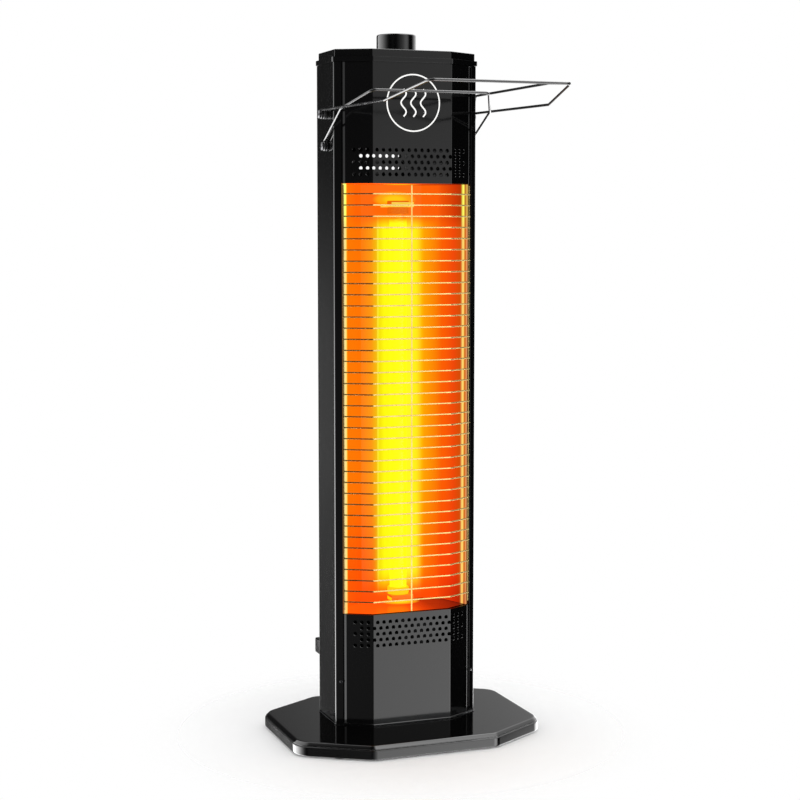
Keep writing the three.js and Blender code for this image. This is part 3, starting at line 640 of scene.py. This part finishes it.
def polished_reflector():
    """Polished sheet with the tube's light painted on it as glow and painted reflections, redder towards its two
    ends.
    """
    s = Shader("polished_reflector")
    across = s.span(s.axis("X"), -TROUGH_HALF * MM, TROUGH_HALF * MM)

    def glow(stops):
        return s.ramp(across, [((place + TROUGH_HALF) / (2 * TROUGH_HALF), color) for place, color in stops])

    z = s.axis("Z")
    middle = s.math("MULTIPLY",
                    s.span(z, WINDOW_LOW + 4 * MM, WINDOW_LOW + 44 * MM, 0, 1, smooth=True),
                    s.span(z, WINDOW_TOP - 60 * MM, WINDOW_TOP - 36 * MM, 1, 0, smooth=True))
    on, off = (1, 1, 1), (0, 0, 0)
    # painted light: the glow is redder beside the tube's image, low down
    beside = s.ramp(across, [(0.05, off), (0.06, on), (0.36, on), (0.4, off), (0.7, off), (0.76, on),
                             (0.93, on), (0.945, off)])
    low_down = s.span(z, WINDOW_LOW + 30 * MM, WINDOW_LOW + 190 * MM, 1, 0, smooth=True)
    trough = s.mix(s.math("MULTIPLY", beside, low_down), glow(TROUGH_GLOW), (1.0, 0.5, 1.0), "MULTIPLY")
    ends = s.mix(s.upper_half(), glow(END_GLOW), (1.0, 1.7, 1.0), "MULTIPLY")
    # a painted pool of yellow light near the top of the trough
    far = s.spot(s.axis("X"), z, (4 * MM, WINDOW_TOP - 19 * MM), (25 * MM, 9 * MM))
    pool = s.ramp(s.span(far, 0.0, 1.6), [(0.0, on), (0.4, (0.5, 0.5, 0.5)), (1.0, off)], "EASE")
    ends = s.mix(pool, ends, (1.0, 0.6, 0.004))
    s.link(s.mix(middle, ends, trough), s.surface, "Emission Color")
    haze = s.noise(30, 3, (1, 1, 0.1))
    s.skin(haze, (0.02, 0.012, 0.004), (0.035, 0.02, 0.008), 0.2, 0.34)
    s.put(emission_strength=1.0, metallic=1.0)
    s.bump(haze, 0.05, 0.0004)


def hot_plate():
    """The reflector's end plates, with painted light: a red glow, a painted yellow pool of light under the tube
    and painted shade at the right.
    """
    s = Shader("hot_plate")
    x = s.axis("X")
    # painted light and shade: the red glow darkens to painted shade at the right, behind the tube
    side = s.ramp(s.span(x, -80 * MM, 80 * MM), [
        (0.0, (1.0, 0.09, 0.002)), (0.45, (1.0, 0.07, 0.002)), (0.62, (0.6, 0.025, 0.002)),
        (0.74, (0.25, 0.012, 0.002)), (1.0, (0.08, 0.004, 0.002))])
    # a painted pool of yellow light under the tube
    far = s.spot(x, s.axis("Y"), (9 * MM, 24 * MM), (19 * MM, 14 * MM))
    pool = s.ramp(s.span(far, 0.0, 2.0),
                  [(0.0, (1, 1, 1)), (0.45, (0.45, 0.45, 0.45)), (1.0, (0, 0, 0))], "EASE")
    s.link(s.mix(pool, side, (1.0, 0.72, 0.01)), s.surface, "Emission Color")
    # Only the faces towards the window's middle carry the painted glow.
    towards_middle = s.math("SUBTRACT", (WINDOW_LOW + WINDOW_TOP) / 2, s.axis("Z"))
    facing = s.node("ShaderNodeSeparateXYZ")
    s.link(s.node("ShaderNodeNewGeometry").outputs["Normal"], facing, "Vector")
    inner_side = s.math("GREATER_THAN", s.math("MULTIPLY", facing.outputs["Z"], towards_middle), 0.0)
    s.link(inner_side, s.surface, "Emission Strength")
    haze = s.noise(30, 3)
    s.skin(haze, (0.02, 0.01, 0.004), (0.035, 0.02, 0.008), 0.2, 0.34)
    s.put(metallic=1.0)
    s.bump(haze, 0.05, 0.0004)


def quartz_glass():
    """The lit quartz tube: clear, gloss, and filled with the element's light."""
    s = Shader("quartz_glass")
    z = s.axis("Z")
    low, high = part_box("heater_tube")
    ends = s.math("MULTIPLY",
                  s.span(z, low.z - 4 * MM, low.z + 8 * MM, 0, 1, smooth=True),
                  s.span(z, high.z - 22 * MM, high.z - 12 * MM, 1, 0, smooth=True))
    s.link(s.mix(ends, (1.0, 0.16, 0.002), (1.0, 0.96, 0.006)), s.surface, "Emission Color")
    s.put(emission_strength=1.0, alpha=0.72, ior=1.46, specular_ior_level=0.15)
    ripple = s.noise(60, 2, (1, 1, 0.15))
    s.skin(ripple, (0.05, 0.035, 0.003), (0.08, 0.06, 0.006), 0.05, 0.12)
    s.bump(ripple, 0.05, 0.0004)


def glowing_element():
    """The coiled element at full heat."""
    s = Shader("glowing_element")
    grain = s.noise(300, 3)
    s.tint(grain, (0.2, 0.1, 0.02), (0.3, 0.2, 0.04))
    s.tint(grain, (1.0, 0.85, 0.01), (1.0, 1.0, 0.03), socket="Emission Color")
    s.put(emission_strength=1.6, roughness=0.6)


for make in (gloss_black_paint, black_plastic, plain_materials, bright_steel, hot_steel, hot_ceramic,
             polished_reflector, hot_plate, quartz_glass, glowing_element):
    make()
SLOT_OF = {name: name for name in MATERIALS}
SLOT_OF.update(lit_wire="chrome_wire", dull_steel="bright_steel", hot_steel="bright_steel",
               hot_plate="polished_reflector", hot_ceramic="white_ceramic", white_print="white_ceramic")
LIT_NODES = {f"{start}_{end}": look for end in ("top", "bottom")
             for start, look in (("reflector_end", "hot_plate"), ("tube_clip", "hot_steel"))}


def finish_cad_nodes():
    """Every CAD node takes the material of its slot, or, beside the tube, a material with painted glow."""
    for part in frame["record"]["subparts"]:
        obj = NODES[part["node"]]
        obj.data.materials.clear()
        kind = LIT_NODES.get(part["node"], part["material_slot"])
        obj.data.materials.append(MATERIALS[kind])


# ---- casing
VENT_RADIUS = 2.2 * MM
VENT_PITCH = 8.54 * MM
VENT_ROW = 7.55 * MM
VENT_ROWS = 5
VENT_COLUMNS = 12
UPPER_VENTS = WINDOW_TOP + 26.3 * MM
LOWER_VENTS = WINDOW_LOW - 25.1 * MM


def vent_pins(middle):
    """Round holes in one front panel, in the CAD's rows, each opened a little at its mouth."""
    corner_start = 6.6 * MM
    corner_length = (BEND_POINT - CORNER).length
    radius = VENT_RADIUS / MM
    mouth = radius + 0.35
    pin = turned([[0, -6], [radius, -6], [radius, -0.45], [mouth, -0.05], [mouth, 3], [0, 3]], 16)
    pins = []
    for row in range(VENT_ROWS):
        z = middle + (row - (VENT_ROWS - 1) / 2) * VENT_ROW
        outer_row = row % 2 == 0
        count = VENT_COLUMNS if outer_row else VENT_COLUMNS + 1
        for i in range(count):
            x = (i - (count - 1) / 2) * VENT_PITCH
            pins.append(moved(pin.copy(), (x, FRONT, z), (0, -1, 0)))
        for i in range(3 if outer_row else 2):
            at = on_corner(corner_length - corner_start - i * VENT_PITCH, 0)
            for side in (1, -1):
                facing = (-side * INWARD.x, -INWARD.y, 0)
                pins.append(moved(pin.copy(), (side * at.x, at.y, z), facing))
    pin.free()
    return joined(*pins)


def slot_tool(x, z, length, height, near, far):
    """A bar with round ends that cuts a level slot through the back panel."""
    end = length / 2 - height / 2
    rings = []
    for y in (near, far):
        ring = []
        for side in (1, -1):
            for i in range(9):
                a = math.pi * (i / 8 - 0.5)
                ring.append(Vector((x + side * (end + height / 2 * math.cos(a)), y,
                                    z + side * height / 2 * math.sin(a))))
        rings.append(ring)
    return loft(rings)


def back_slots(near, far):
    """Two pairs of slots behind the upper vents and two columns of five at the foot."""
    length, height, space = 60 * MM, 5.4 * MM, 8 * MM
    upper_shift, upper_rise = 20 * MM, 3.9 * MM
    lower_start, lower_pitch, lower_count = 40 * MM, 11 * MM, 5
    tools = []
    for side in (-1, 1):
        x = side * (length + space) / 2
        for row in (-1, 1):
            z = UPPER_VENTS + row * VENT_ROW + upper_rise
            tools.append(slot_tool(x + upper_shift, z, length, height, near, far))
        for i in range(lower_count):
            tools.append(slot_tool(x, lower_start + lower_pitch * i, length, height, near, far))
    return tools


def build_casing():
    paint = "gloss_black_paint"
    side_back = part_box("side_panel_right")[1].y
    back_return = 12 * MM
    side_line = [on_corner(STRIP, 0), CORNER]
    side_line += [Vector((HALF, side_back)), Vector((HALF - back_return, side_back))]
    right = bent_sheet(side_line, SHEET, CASING_LOW, CASING_TOP)
    piece("side_sheet_left", flipped(right.copy()), paint, "side_panel_left")
    piece("side_sheet_right", right, paint, "side_panel_right")

    half_line = [
        BEND_POINT, on_corner(STRIP + GROOVE, 0), on_corner(STRIP, JOGGLE), on_corner(TUCKED, JOGGLE),
    ]
    panel_line = mirrored(half_line) + half_line
    for name, vent_middle in (("upper", UPPER_VENTS), ("lower", LOWER_VENTS)):
        node = f"front_panel_{name}"
        low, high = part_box(node)
        sheet = bent_sheet(panel_line, SHEET, low.z, high.z)
        piece(f"vented_panel_{name}", cut(sheet, vent_pins(vent_middle)), paint, node)

    low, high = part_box("back_panel")
    past = 2 * MM
    tools = back_slots(low.y - past, high.y + past)
    inlet_low, inlet_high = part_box("inlet_housing")
    cord_hole = turned([[0, -6], [3.5, -6], [3.5, 6], [0, 6]], 24)
    cord_place = (round_facts("cord_gland")[0].x, high.y, (inlet_low.z + inlet_high.z) / 2)
    tools.append(moved(cord_hole, cord_place, (0, 1, 0)))
    back = block(low, high, 0.3)
    piece("back_sheet", cut(back, joined(*tools)), paint, "back_panel")


def build_cap():
    low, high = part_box("top_cap")
    lip_low, lip_high = 861.0, 867.1
    top = high.z / MM
    layers = [
        (-5.5, top - 2), (-5.5, low.z / MM), (-4, low.z / MM), (-4, lip_low), (1.4, lip_low),
        (1.7, lip_low + 0.1), (1.8, lip_low + 0.4), (1.8, lip_high - 0.5), (1.65, lip_high - 0.15),
        (1.3, lip_high), (-1.5, lip_high), (-1.75, lip_high + 0.15), (-1.8, lip_high + 0.5),
        (-1.8, top - 1.0), (-1.95, top - 0.4), (-2.3, top - 0.1), (-2.9, top),
    ]
    hole_radius = 5.3
    hole = turned([[0, -8], [hole_radius, -8], [hole_radius, 8], [0, 8]], 32)
    hole = moved(hole, (0, pivot("knob_turn").y, high.z))
    piece("cap_shell", cut(layered(casing_outline, layers), hole), "gloss_black_paint", "top_cap")


def build_foot():
    low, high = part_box("tower_foot_flange")
    layers = [(0.6, low.z / MM), (1.0, low.z / MM + 0.4), (1.0, high.z / MM - 0.4), (0.6, high.z / MM)]
    piece("foot_flange", layered(casing_outline, layers), "gloss_black_paint", "tower_foot_flange")

    tray_low = BASE_LOW.z / MM
    tray_top = BASE_HIGH.z / MM
    layers = [
        (8, tray_low), (1.4, tray_low), (0.5, tray_low + 0.3), (0.1, tray_low + 0.9), (0, tray_low + 1.8),
        (0, tray_top - 0.9), (0.15, tray_top - 0.35), (0.5, tray_top - 0.05), (0.9, tray_top),
        (3, tray_top), (3, tray_low + 2.6),
    ]
    tub = piece("base_tub", layered(base_outline, layers), "black_plastic", "base_tray")

    cover_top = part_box("base_cover")[1].z / MM
    seam = tray_top + 1
    layers = [
        (7.3, tray_top - 1), (3.4, tray_top - 1), (3.4, seam), (1.3, seam), (1.05, seam + 0.15),
        (1.05, seam + 0.5), (1.2, seam + 0.8), (4.2, cover_top - 0.75), (4.7, cover_top - 0.35),
        (5.3, cover_top - 0.1), (6.2, cover_top), (10, cover_top),
    ]
    shell = piece("base_shell", layered(base_outline, layers), "gloss_black_paint", "base_cover")
    tub.visible_glossy = False
    shell.visible_glossy = False

    for where in ("centre", "front_left", "front_right", "back_left", "back_right"):
        node = f"foot_pad_{where}"
        foot, radius, height = round_facts(node)
        pad = turned([[0, 0.25], [radius * 0.45, 0.25], [radius * 0.55, 0], [radius - 0.5, 0],
                      [radius, 0.4], [radius, height - 0.2], [radius - 0.2, height], [0, height]], 40)
        piece(f"rubber_pad_{where}", moved(pad, foot), "black_rubber", node)


# ---- knob and emblem
def build_knob():
    foot, radius, top = round_facts("control_knob")
    knob = turned([
        [0, 4], [9.6, 4], [10, 3.6], [10, 0.3], [10.3, 0],
        [radius - 1.0, 0], [radius - 0.3, 0.2], [radius, 0.8],
        [radius, top - 2.2], [radius - 0.15, top - 1.3], [radius - 0.6, top - 0.6],
        [radius - 1.3, top - 0.15], [radius - 2.2, top], [radius - 4.2, top],
        [radius - 4.8, top - 0.15], [radius - 5.4, top - 0.5], [0, top - 0.7],
    ], 96)
    piece("dial_knob", moved(knob, foot), "black_plastic", "control_knob", "knob")
    half_width, near_end, far_end = 0.8 * MM, 10 * MM, 19 * MM
    face = foot + Vector((0, 0, top * MM))
    pointer = block(face + Vector((-half_width, -far_end, -0.9 * MM)),
                    face + Vector((half_width, -near_end, -0.35 * MM)), 0.2)
    piece("knob_pointer", pointer, "white_print", body="knob", flat_faces=False)


def build_emblem():
    """A plain mark of the builder's own: a ring with three rising waves of heat."""
    centre = Vector((1 * MM, 811 * MM))
    radius, line = 35, 1.7
    proud, sunk = 0.12, 0.1
    outer, inner = radius + line / 2, radius - line / 2
    ring = ring_solid([[outer, -sunk], [outer, proud], [inner, proud], [inner, -sunk]], 96)
    parts = [moved(ring, (centre.x, FRONT, centre.y), (0, -1, 0))]
    wave_width = line * 1.1 * MM
    sway, height, swings, steps = 3.4 * MM, 34 * MM, 1.5, 24
    for across in (-13, 0, 13):
        wave = []
        for i in range(steps + 1):
            t = i / steps
            aside = across * MM + sway * math.sin(2 * math.pi * swings * t)
            wave.append(centre + Vector((aside, height * (t - 0.5))))
        left, right = offset(wave, wave_width / 2), offset(wave, -wave_width / 2)
        parts.append(prism(left, right, FRONT - proud * MM, FRONT + sunk * MM, upright=True))
    piece("heat_emblem", joined(*parts), "white_print", flat_faces=False)


# ---- window
def build_grille():
    wire, side_wire = 0.9 * MM, 1.0 * MM
    wire_count, overhang = 38, 11 * MM
    low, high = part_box("front_grille")
    first, last = low.z + overhang, high.z - overhang
    half_line = [BEND_POINT, on_corner(STRIP + 1 * MM, 0)]
    line = fillet(offset(mirrored(half_line) + half_line, 1.0 * MM), 4 * MM, 5)
    parts = []
    for i in range(wire_count):
        z = first + (last - first) * i / (wire_count - 1)
        parts.append(sweep([Vector((p.x, p.y, z)) for p in line], wire, 10))
    for side in (1, -1):
        at = on_corner(STRIP + 1.7 * MM, 2.0 * MM)
        parts.append(sweep([Vector((side * at.x, at.y, z)) for z in (low.z, high.z)], side_wire, 10))
    piece("wire_guard", joined(*parts), "chrome_wire", "front_grille", sharp=50, flat_faces=False)
    upright_y, upright_drop = FRONT + 2.5 * MM, 4 * MM
    upright = [Vector((0, upright_y, z)) for z in (low.z - upright_drop, high.z)]
    # the upright takes the wire material with painted glow
    piece("wire_guard_upright", sweep(upright, wire, 10), "lit_wire", sharp=50, flat_faces=False)


def build_heater():
    at, radius, length = round_facts("heater_tube")
    wall, rim = 1.5, 0.3
    inside = radius - wall
    tube = ring_solid([[radius, rim], [radius, length - rim], [radius - rim, length],
                       [inside + rim, length], [inside, length - rim], [inside, rim],
                       [inside + rim, 0], [radius - rim, 0]], 48)
    piece("quartz_tube", moved(tube, at), "quartz_glass", "heater_tube", flat_faces=False)

    low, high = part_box("heating_element")
    pitch, strand, steps = 5.0 * MM, 0.9 * MM, 12
    coil_radius = (high.x - low.x) / 2 - strand
    turns = int((high.z - low.z - 2 * strand) / pitch)
    coil = []
    for i in range(turns * steps + 1):
        a = 2 * math.pi * i / steps
        z = low.z + strand + pitch * i / steps
        coil.append(Vector((at.x + coil_radius * math.cos(a), at.y + coil_radius * math.sin(a), z)))
    piece("element_coil", sweep(coil, strand, 6), "glowing_element", "heating_element", flat_faces=False)

    for name, sign in (("bottom", 1), ("top", -1)):
        node = f"ceramic_cap_{name}"
        foot, outer, length = round_facts(node)
        pocket = radius + 0.3
        cap = turned([[0, 0], [outer - 1, 0], [outer - 0.3, 0.3], [outer, 1], [outer, length * 0.35],
                      [outer - 0.7, length * 0.4], [outer - 0.7, length * 0.5], [outer, length * 0.55],
                      [outer, length - 0.8], [outer - 0.5, length - 0.1], [outer - 1, length],
                      [pocket + 0.3, length], [pocket, length - 0.3], [pocket, length * 0.45],
                      [0, length * 0.45]], 48)
        if sign < 0:
            foot.z += length * MM
        piece(f"ceramic_end_{name}", moved(cap, foot, (0, 0, sign)), "hot_ceramic", node)


def build_reflector():
    low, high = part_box("reflector")
    lip = JOGGLE + 0.15 * MM
    lip_start, lip_end, lip_run, lip_depth = 7 * MM, 14 * MM, 1 * MM, 1.3 * MM
    floor_half, turn_inset, turn_y = 42 * MM, 30 * MM, 20 * MM
    sheet, bend = 1 * MM, 4 * MM
    right = [
        on_corner(lip_start, lip), on_corner(lip_end, lip), on_corner(lip_end + lip_run, lip + lip_depth),
        Vector((HALF - turn_inset, turn_y)), Vector((floor_half, high.y - sheet)),
    ]
    trough = bent_sheet(right + mirrored(right), -sheet, low.z, high.z, bend)
    # The faces towards the front take the polished material with its painted glow, and the second material is for
    # the rest.
    for face in trough.faces:
        face.material_index = 0 if face.normal.y < -0.1 else 1
    obj = piece("polished_trough", trough, "polished_reflector", "reflector")
    obj.data.materials.append(MATERIALS["bright_steel"])


# ---- screws, washers, inlet
def head_facts(node, facing):
    """Where a turned node's axis is, how far its top reaches along facing, and its widest radius."""
    facing = Vector(facing).normalized()
    points = node_points(node)
    side = facing.orthogonal().normalized()
    other = facing.cross(side)
    middle = Vector((0, 0, 0))
    for direction in (side, other):
        reach = [p.dot(direction) for p in points]
        middle += direction * (min(reach) + max(reach)) / 2
    top = max(p.dot(facing) for p in points)
    bottom = min(p.dot(facing) for p in points)
    radius = max(((p - middle) - facing * (p - middle).dot(facing)).length for p in points)
    return middle, bottom, top, radius


def pan_screw(name, node, facing, head_height, shank, material="black_screw"):
    """A pan head screw with a cross recess, on the axis of its CAD node."""
    facing = Vector(facing).normalized()
    middle, bottom, top, radius = head_facts(node, facing)
    r = radius / MM
    h = head_height
    length = (top - bottom) / MM - h
    screw = turned([
        [0, -length], [shank - 0.4, -length], [shank, -length + 0.4], [shank, 0], [r - 0.15, 0],
        [r, 0.15], [r, h * 0.4], [r * 0.95, h * 0.62], [r * 0.82, h * 0.84], [r * 0.6, h * 0.96], [0, h],
    ], 32)
    arm, width, depth = r * 0.55 * MM, r * 0.11 * MM, h * 0.6 * MM
    recess = []
    for x, y in ((arm, width), (width, arm)):
        cross = bmesh.new()
        bmesh.ops.create_cube(cross, size=1)
        bmesh.ops.scale(cross, vec=(2 * x, 2 * y, 2 * depth), verts=cross.verts)
        recess.append(moved(cross, (0, 0, h * MM)))
    shaped = cut(cut(screw, recess[0]), recess[1])
    place = middle + facing * (top - h * MM)
    piece(name, moved(shaped, place, facing), material, node, sharp=40)


def build_fasteners():
    for side, where in ((-1, "left"), (1, "right")):
        corner_facing = (-side * INWARD.x, -INWARD.y, 0)
        pan_screw(f"corner_pan_screw_{where}", f"corner_screw_{where}", corner_facing, 0.9, 1.1)
        for name in ("inner", "outer"):
            pan_screw(f"{name}_pivot_bolt_{where}", f"{name}_pivot_screw_{where}", (side, 0, 0), 2.4, 2.4)
            washer_node = f"{name}_pivot_washer_{where}"
            middle, bottom, top, radius = head_facts(washer_node, (side, 0, 0))
            r = radius / MM
            t = (top - bottom) / MM
            e = min(0.25, t / 4)
            washer = ring_solid([[r, e], [r, t - e], [r - e, t], [2.9, t], [2.65, t - e], [2.65, e],
                                 [2.9, 0], [r - e, 0]], 40)
            washer = moved(washer, middle + Vector((side, 0, 0)) * bottom, (side, 0, 0))
            piece(f"{name}_spacer_{where}", washer, "dull_steel", washer_node)
    for i in range(1, 5):
        pan_screw(f"back_pan_screw_{i}", f"back_screw_{i}", (0, 1, 0), 1.8, 1.8)
        pan_screw(f"base_pan_screw_{i}", f"base_screw_{i}", (0, 0, -1), 1.2, 2.5, material="bright_steel")


def build_inlet():
    low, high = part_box("inlet_housing")
    plate_thick, inset_left, inset_right, margin = 2.2 * MM, 1 * MM, 4 * MM, 18 * MM
    plate_block = block(low, (high.x, low.y + plate_thick, high.z), 0.5)
    housing = block((low.x + inset_left, low.y + plate_thick - 0.4 * MM, low.z + margin),
                    (high.x - inset_right, high.y, high.z - margin), 2.2)
    rib_count, rib_pitch, rib_height = 4, 4 * MM, 1.4 * MM
    ribs = []
    for i in range(rib_count):
        z = low.z + margin + rib_pitch * (i + 1)
        ribs.append(block((low.x + 6 * MM, high.y - 0.6 * MM, z),
                          (high.x - 9 * MM, high.y + 0.5 * MM, z + rib_height), 0.3))
    piece("inlet_cover", joined(plate_block, housing, *ribs), "black_plastic", "inlet_housing")

    foot, radius, length = round_facts("cord_gland")
    bore, collar = 3.2, 4.5
    flares, flare_pitch, taper = 4, 3.4, 0.6
    profile = [[bore, 0.3], [bore + 0.3, 0]]
    for i in range(flares):
        z = 1.0 + i * flare_pitch
        wide = radius - taper + taper * i / (flares - 1)
        neck = wide - 0.7
        profile += [[wide - 0.1, z - 0.6], [wide, z], [wide, z + 1.6], [neck, z + 1.9], [neck, z + 2.6]]
    profile += [[radius, length - collar], [radius, length - 0.3], [radius - 0.3, length], [bore, length]]
    piece("gland_sleeve", moved(ring_solid(profile, 32), foot), "black_rubber", "cord_gland")


# ---- towel rack
RACK_WIRE = 1.6 * MM
EYE = 4.8 * MM
INNER_X = 99.0 * MM
OUTER_X = 102.8 * MM
BEND_RACK = 9 * MM


def eye_points(x, at, knee):
    """The round eye of a leg about its pivot, from its open end to where the leg leaves it."""
    run = Vector((knee.y - at.y, knee.z - at.z))
    lean = math.atan2(run.y, run.x) - math.acos(EYE / run.length)
    turn = math.pi * 1.55
    steps = 28
    points = []
    for i in range(steps + 1):
        angle = lean + turn * (1 - i / steps)
        points.append(Vector((x, at.y + EYE * math.cos(angle), at.z + EYE * math.sin(angle))))
    return points


def bail(x, at, knee, bar):
    """The route of one rack frame: eye, leg, knee, bar across the front, and back."""
    eye = eye_points(x, at, knee)
    across = [eye[-1], Vector((x, knee.y, knee.z)), bar]
    body = fillet(across + mirrored(across), BEND_RACK, 7)
    return eye[:-1] + body + mirrored(eye[:-1])


def build_rack():
    inner = pivot("inner_rack_fold")
    knee = inner + Vector((0, -67.5 * MM, 43 * MM))
    bar = inner + Vector((INNER_X - 23 * MM, -117.5 * MM, 63 * MM))
    wire = sweep(bail(INNER_X, inner, knee, bar), RACK_WIRE, 14)
    piece("inner_bail", wire, "black_wire", "rack_inner_frame", "inner_rack", 50, flat_faces=False)

    outer = pivot("outer_rack_fold")
    knee = outer + Vector((0, -233.5 * MM, 2 * MM))
    bar = outer + Vector((OUTER_X - 17.8 * MM, -329.5 * MM, 19 * MM))
    wire = sweep(bail(OUTER_X, outer, knee, bar), RACK_WIRE, 14)
    leg_top = outer.z + EYE
    rise, back_run, narrowing = 22 * MM, 8 * MM, 2 * MM
    rail = fillet([
        bar - Vector((narrowing, 0, 0)), Vector((OUTER_X, knee.y, leg_top + rise)),
        Vector((OUTER_X, 0, leg_top + rise)), Vector((OUTER_X, back_run, leg_top)),
    ], BEND_RACK, 7)
    frames = joined(wire, sweep(rail, RACK_WIRE, 14))
    piece("outer_bail", frames, "black_wire", "rack_outer_frame", "outer_rack", 50, flat_faces=False)


# ---- stage, light and camera
def build_stage():
    """A white floor that catches the contact shadow and fades out before it shows an edge."""
    bm = bmesh.new()
    bmesh.ops.create_circle(bm, cap_ends=True, segments=96, radius=4)
    floor = in_scene("studio_floor", finished(bm, "studio_floor"))
    s = Shader("studio_floor")
    s.put(base_color=(1, 1, 1, 1), roughness=0.5, specular_ior_level=0.05)
    reach = s.node("ShaderNodeVectorMath", operation="LENGTH")
    s.link(s.place, reach, 0)
    s.link(s.span(reach.outputs["Value"], 0.15, 0.36, 1, 0, smooth=True), s.surface, "Alpha")
    floor.data.materials.append(MATERIALS["studio_floor"])
    floor.visible_glossy = False


# Radiance of the studio round the heater, by azimuth in degrees from the front towards the right.
STUDIO_RING = [
    (-180, 0.1), (-157, 0.02), (-154, 2.7), (-132, 3.2), (-110, 2.6), (-84, 0.7), (-70, 0.1), (-58, 0.0),
    (-40, 0.05), (-25, 0.0), (-10, 0.1), (12, 0.45), (24, 0.8), (36, 1.4), (50, 1.2), (60, 0.0), (85, 0.0),
    (104, 1.4), (134, 2.0), (148, 1.0), (156, 0.45), (164, 0.15), (180, 0.1),
]
RING_SCALE = 4.0


def build_world():
    """A ring of soft boxes that only gloss sees, and plain white for everything else."""
    world = bpy.data.worlds.new("studio")
    SCENE.world = world
    world.use_nodes = True
    t = Tree(world.node_tree)
    t.tree.nodes.clear()
    parts = t.node("ShaderNodeSeparateXYZ")
    t.link(t.node("ShaderNodeTexCoord").outputs["Generated"], parts, "Vector")
    x, y, height = (parts.outputs[name] for name in "XYZ")
    azimuth = t.math("ARCTAN2", x, t.math("MULTIPLY", y, -1.0))
    turn = t.math("ADD", t.math("DIVIDE", azimuth, 2 * math.pi), 0.5)
    shares = t.ramp(turn, [((degrees + 180) / 360, [radiance / RING_SCALE] * 3)
                           for degrees, radiance in STUDIO_RING])
    # The ring is brighter below the horizon, and a panel hangs overhead on the right.
    lower = t.span(height, -0.25, 0.08, 3.4, 1.0, smooth=True)
    ring = t.math("MULTIPLY", t.math("MULTIPLY", shares, RING_SCALE), lower)
    overhead = t.math("MULTIPLY", t.span(height, 0.55, 0.8, 0.0, 4.0, smooth=True),
                      t.span(x, 0.0, 0.25, smooth=True))
    # A dim low patch behind gives the left side panel its lighter middle.
    band = t.math("MULTIPLY", t.span(height, -0.24, -0.1, 0, 0.14, smooth=True),
                  t.span(height, -0.08, 0.05, 1, 0, smooth=True))
    behind = t.math("MULTIPLY", t.span(turn, 0.05, 0.06, 1, 0, smooth=True), band)
    studio = t.math("ADD", t.math("ADD", ring, overhead), behind)

    shiny = t.node("ShaderNodeBackground")
    t.link(studio, shiny, "Color")
    plain = t.node("ShaderNodeBackground")
    plain.inputs["Color"].default_value = (1, 1, 1, 1)
    mix = t.node("ShaderNodeMixShader")
    t.link(t.node("ShaderNodeLightPath").outputs["Is Glossy Ray"], mix, 0)
    t.link(plain.outputs[0], mix, 1)
    t.link(shiny.outputs[0], mix, 2)
    t.link(mix.outputs[0], t.node("ShaderNodeOutputWorld"), "Surface")


def build_camera():
    """A view from the left of the heater and just above its middle."""
    place = Vector((-0.7957, -2.1336, 0.6600))
    yaw, pitch = math.radians(20.425), math.radians(5.667)
    camera = bpy.data.cameras.new("camera")
    camera.sensor_width = 36
    camera.lens = 79.66
    obj = in_scene("camera", camera)
    obj.location = place
    obj.rotation_euler = (math.pi / 2 - pitch, 0, -yaw)
    SCENE.camera = obj


SCENE.view_settings.view_transform = "Standard"
build_camera()
finish_cad_nodes()
build_casing()
build_cap()
build_foot()
build_knob()
build_emblem()
build_grille()
build_heater()
build_reflector()
build_fasteners()
build_inlet()
build_rack()
build_stage()
build_world()
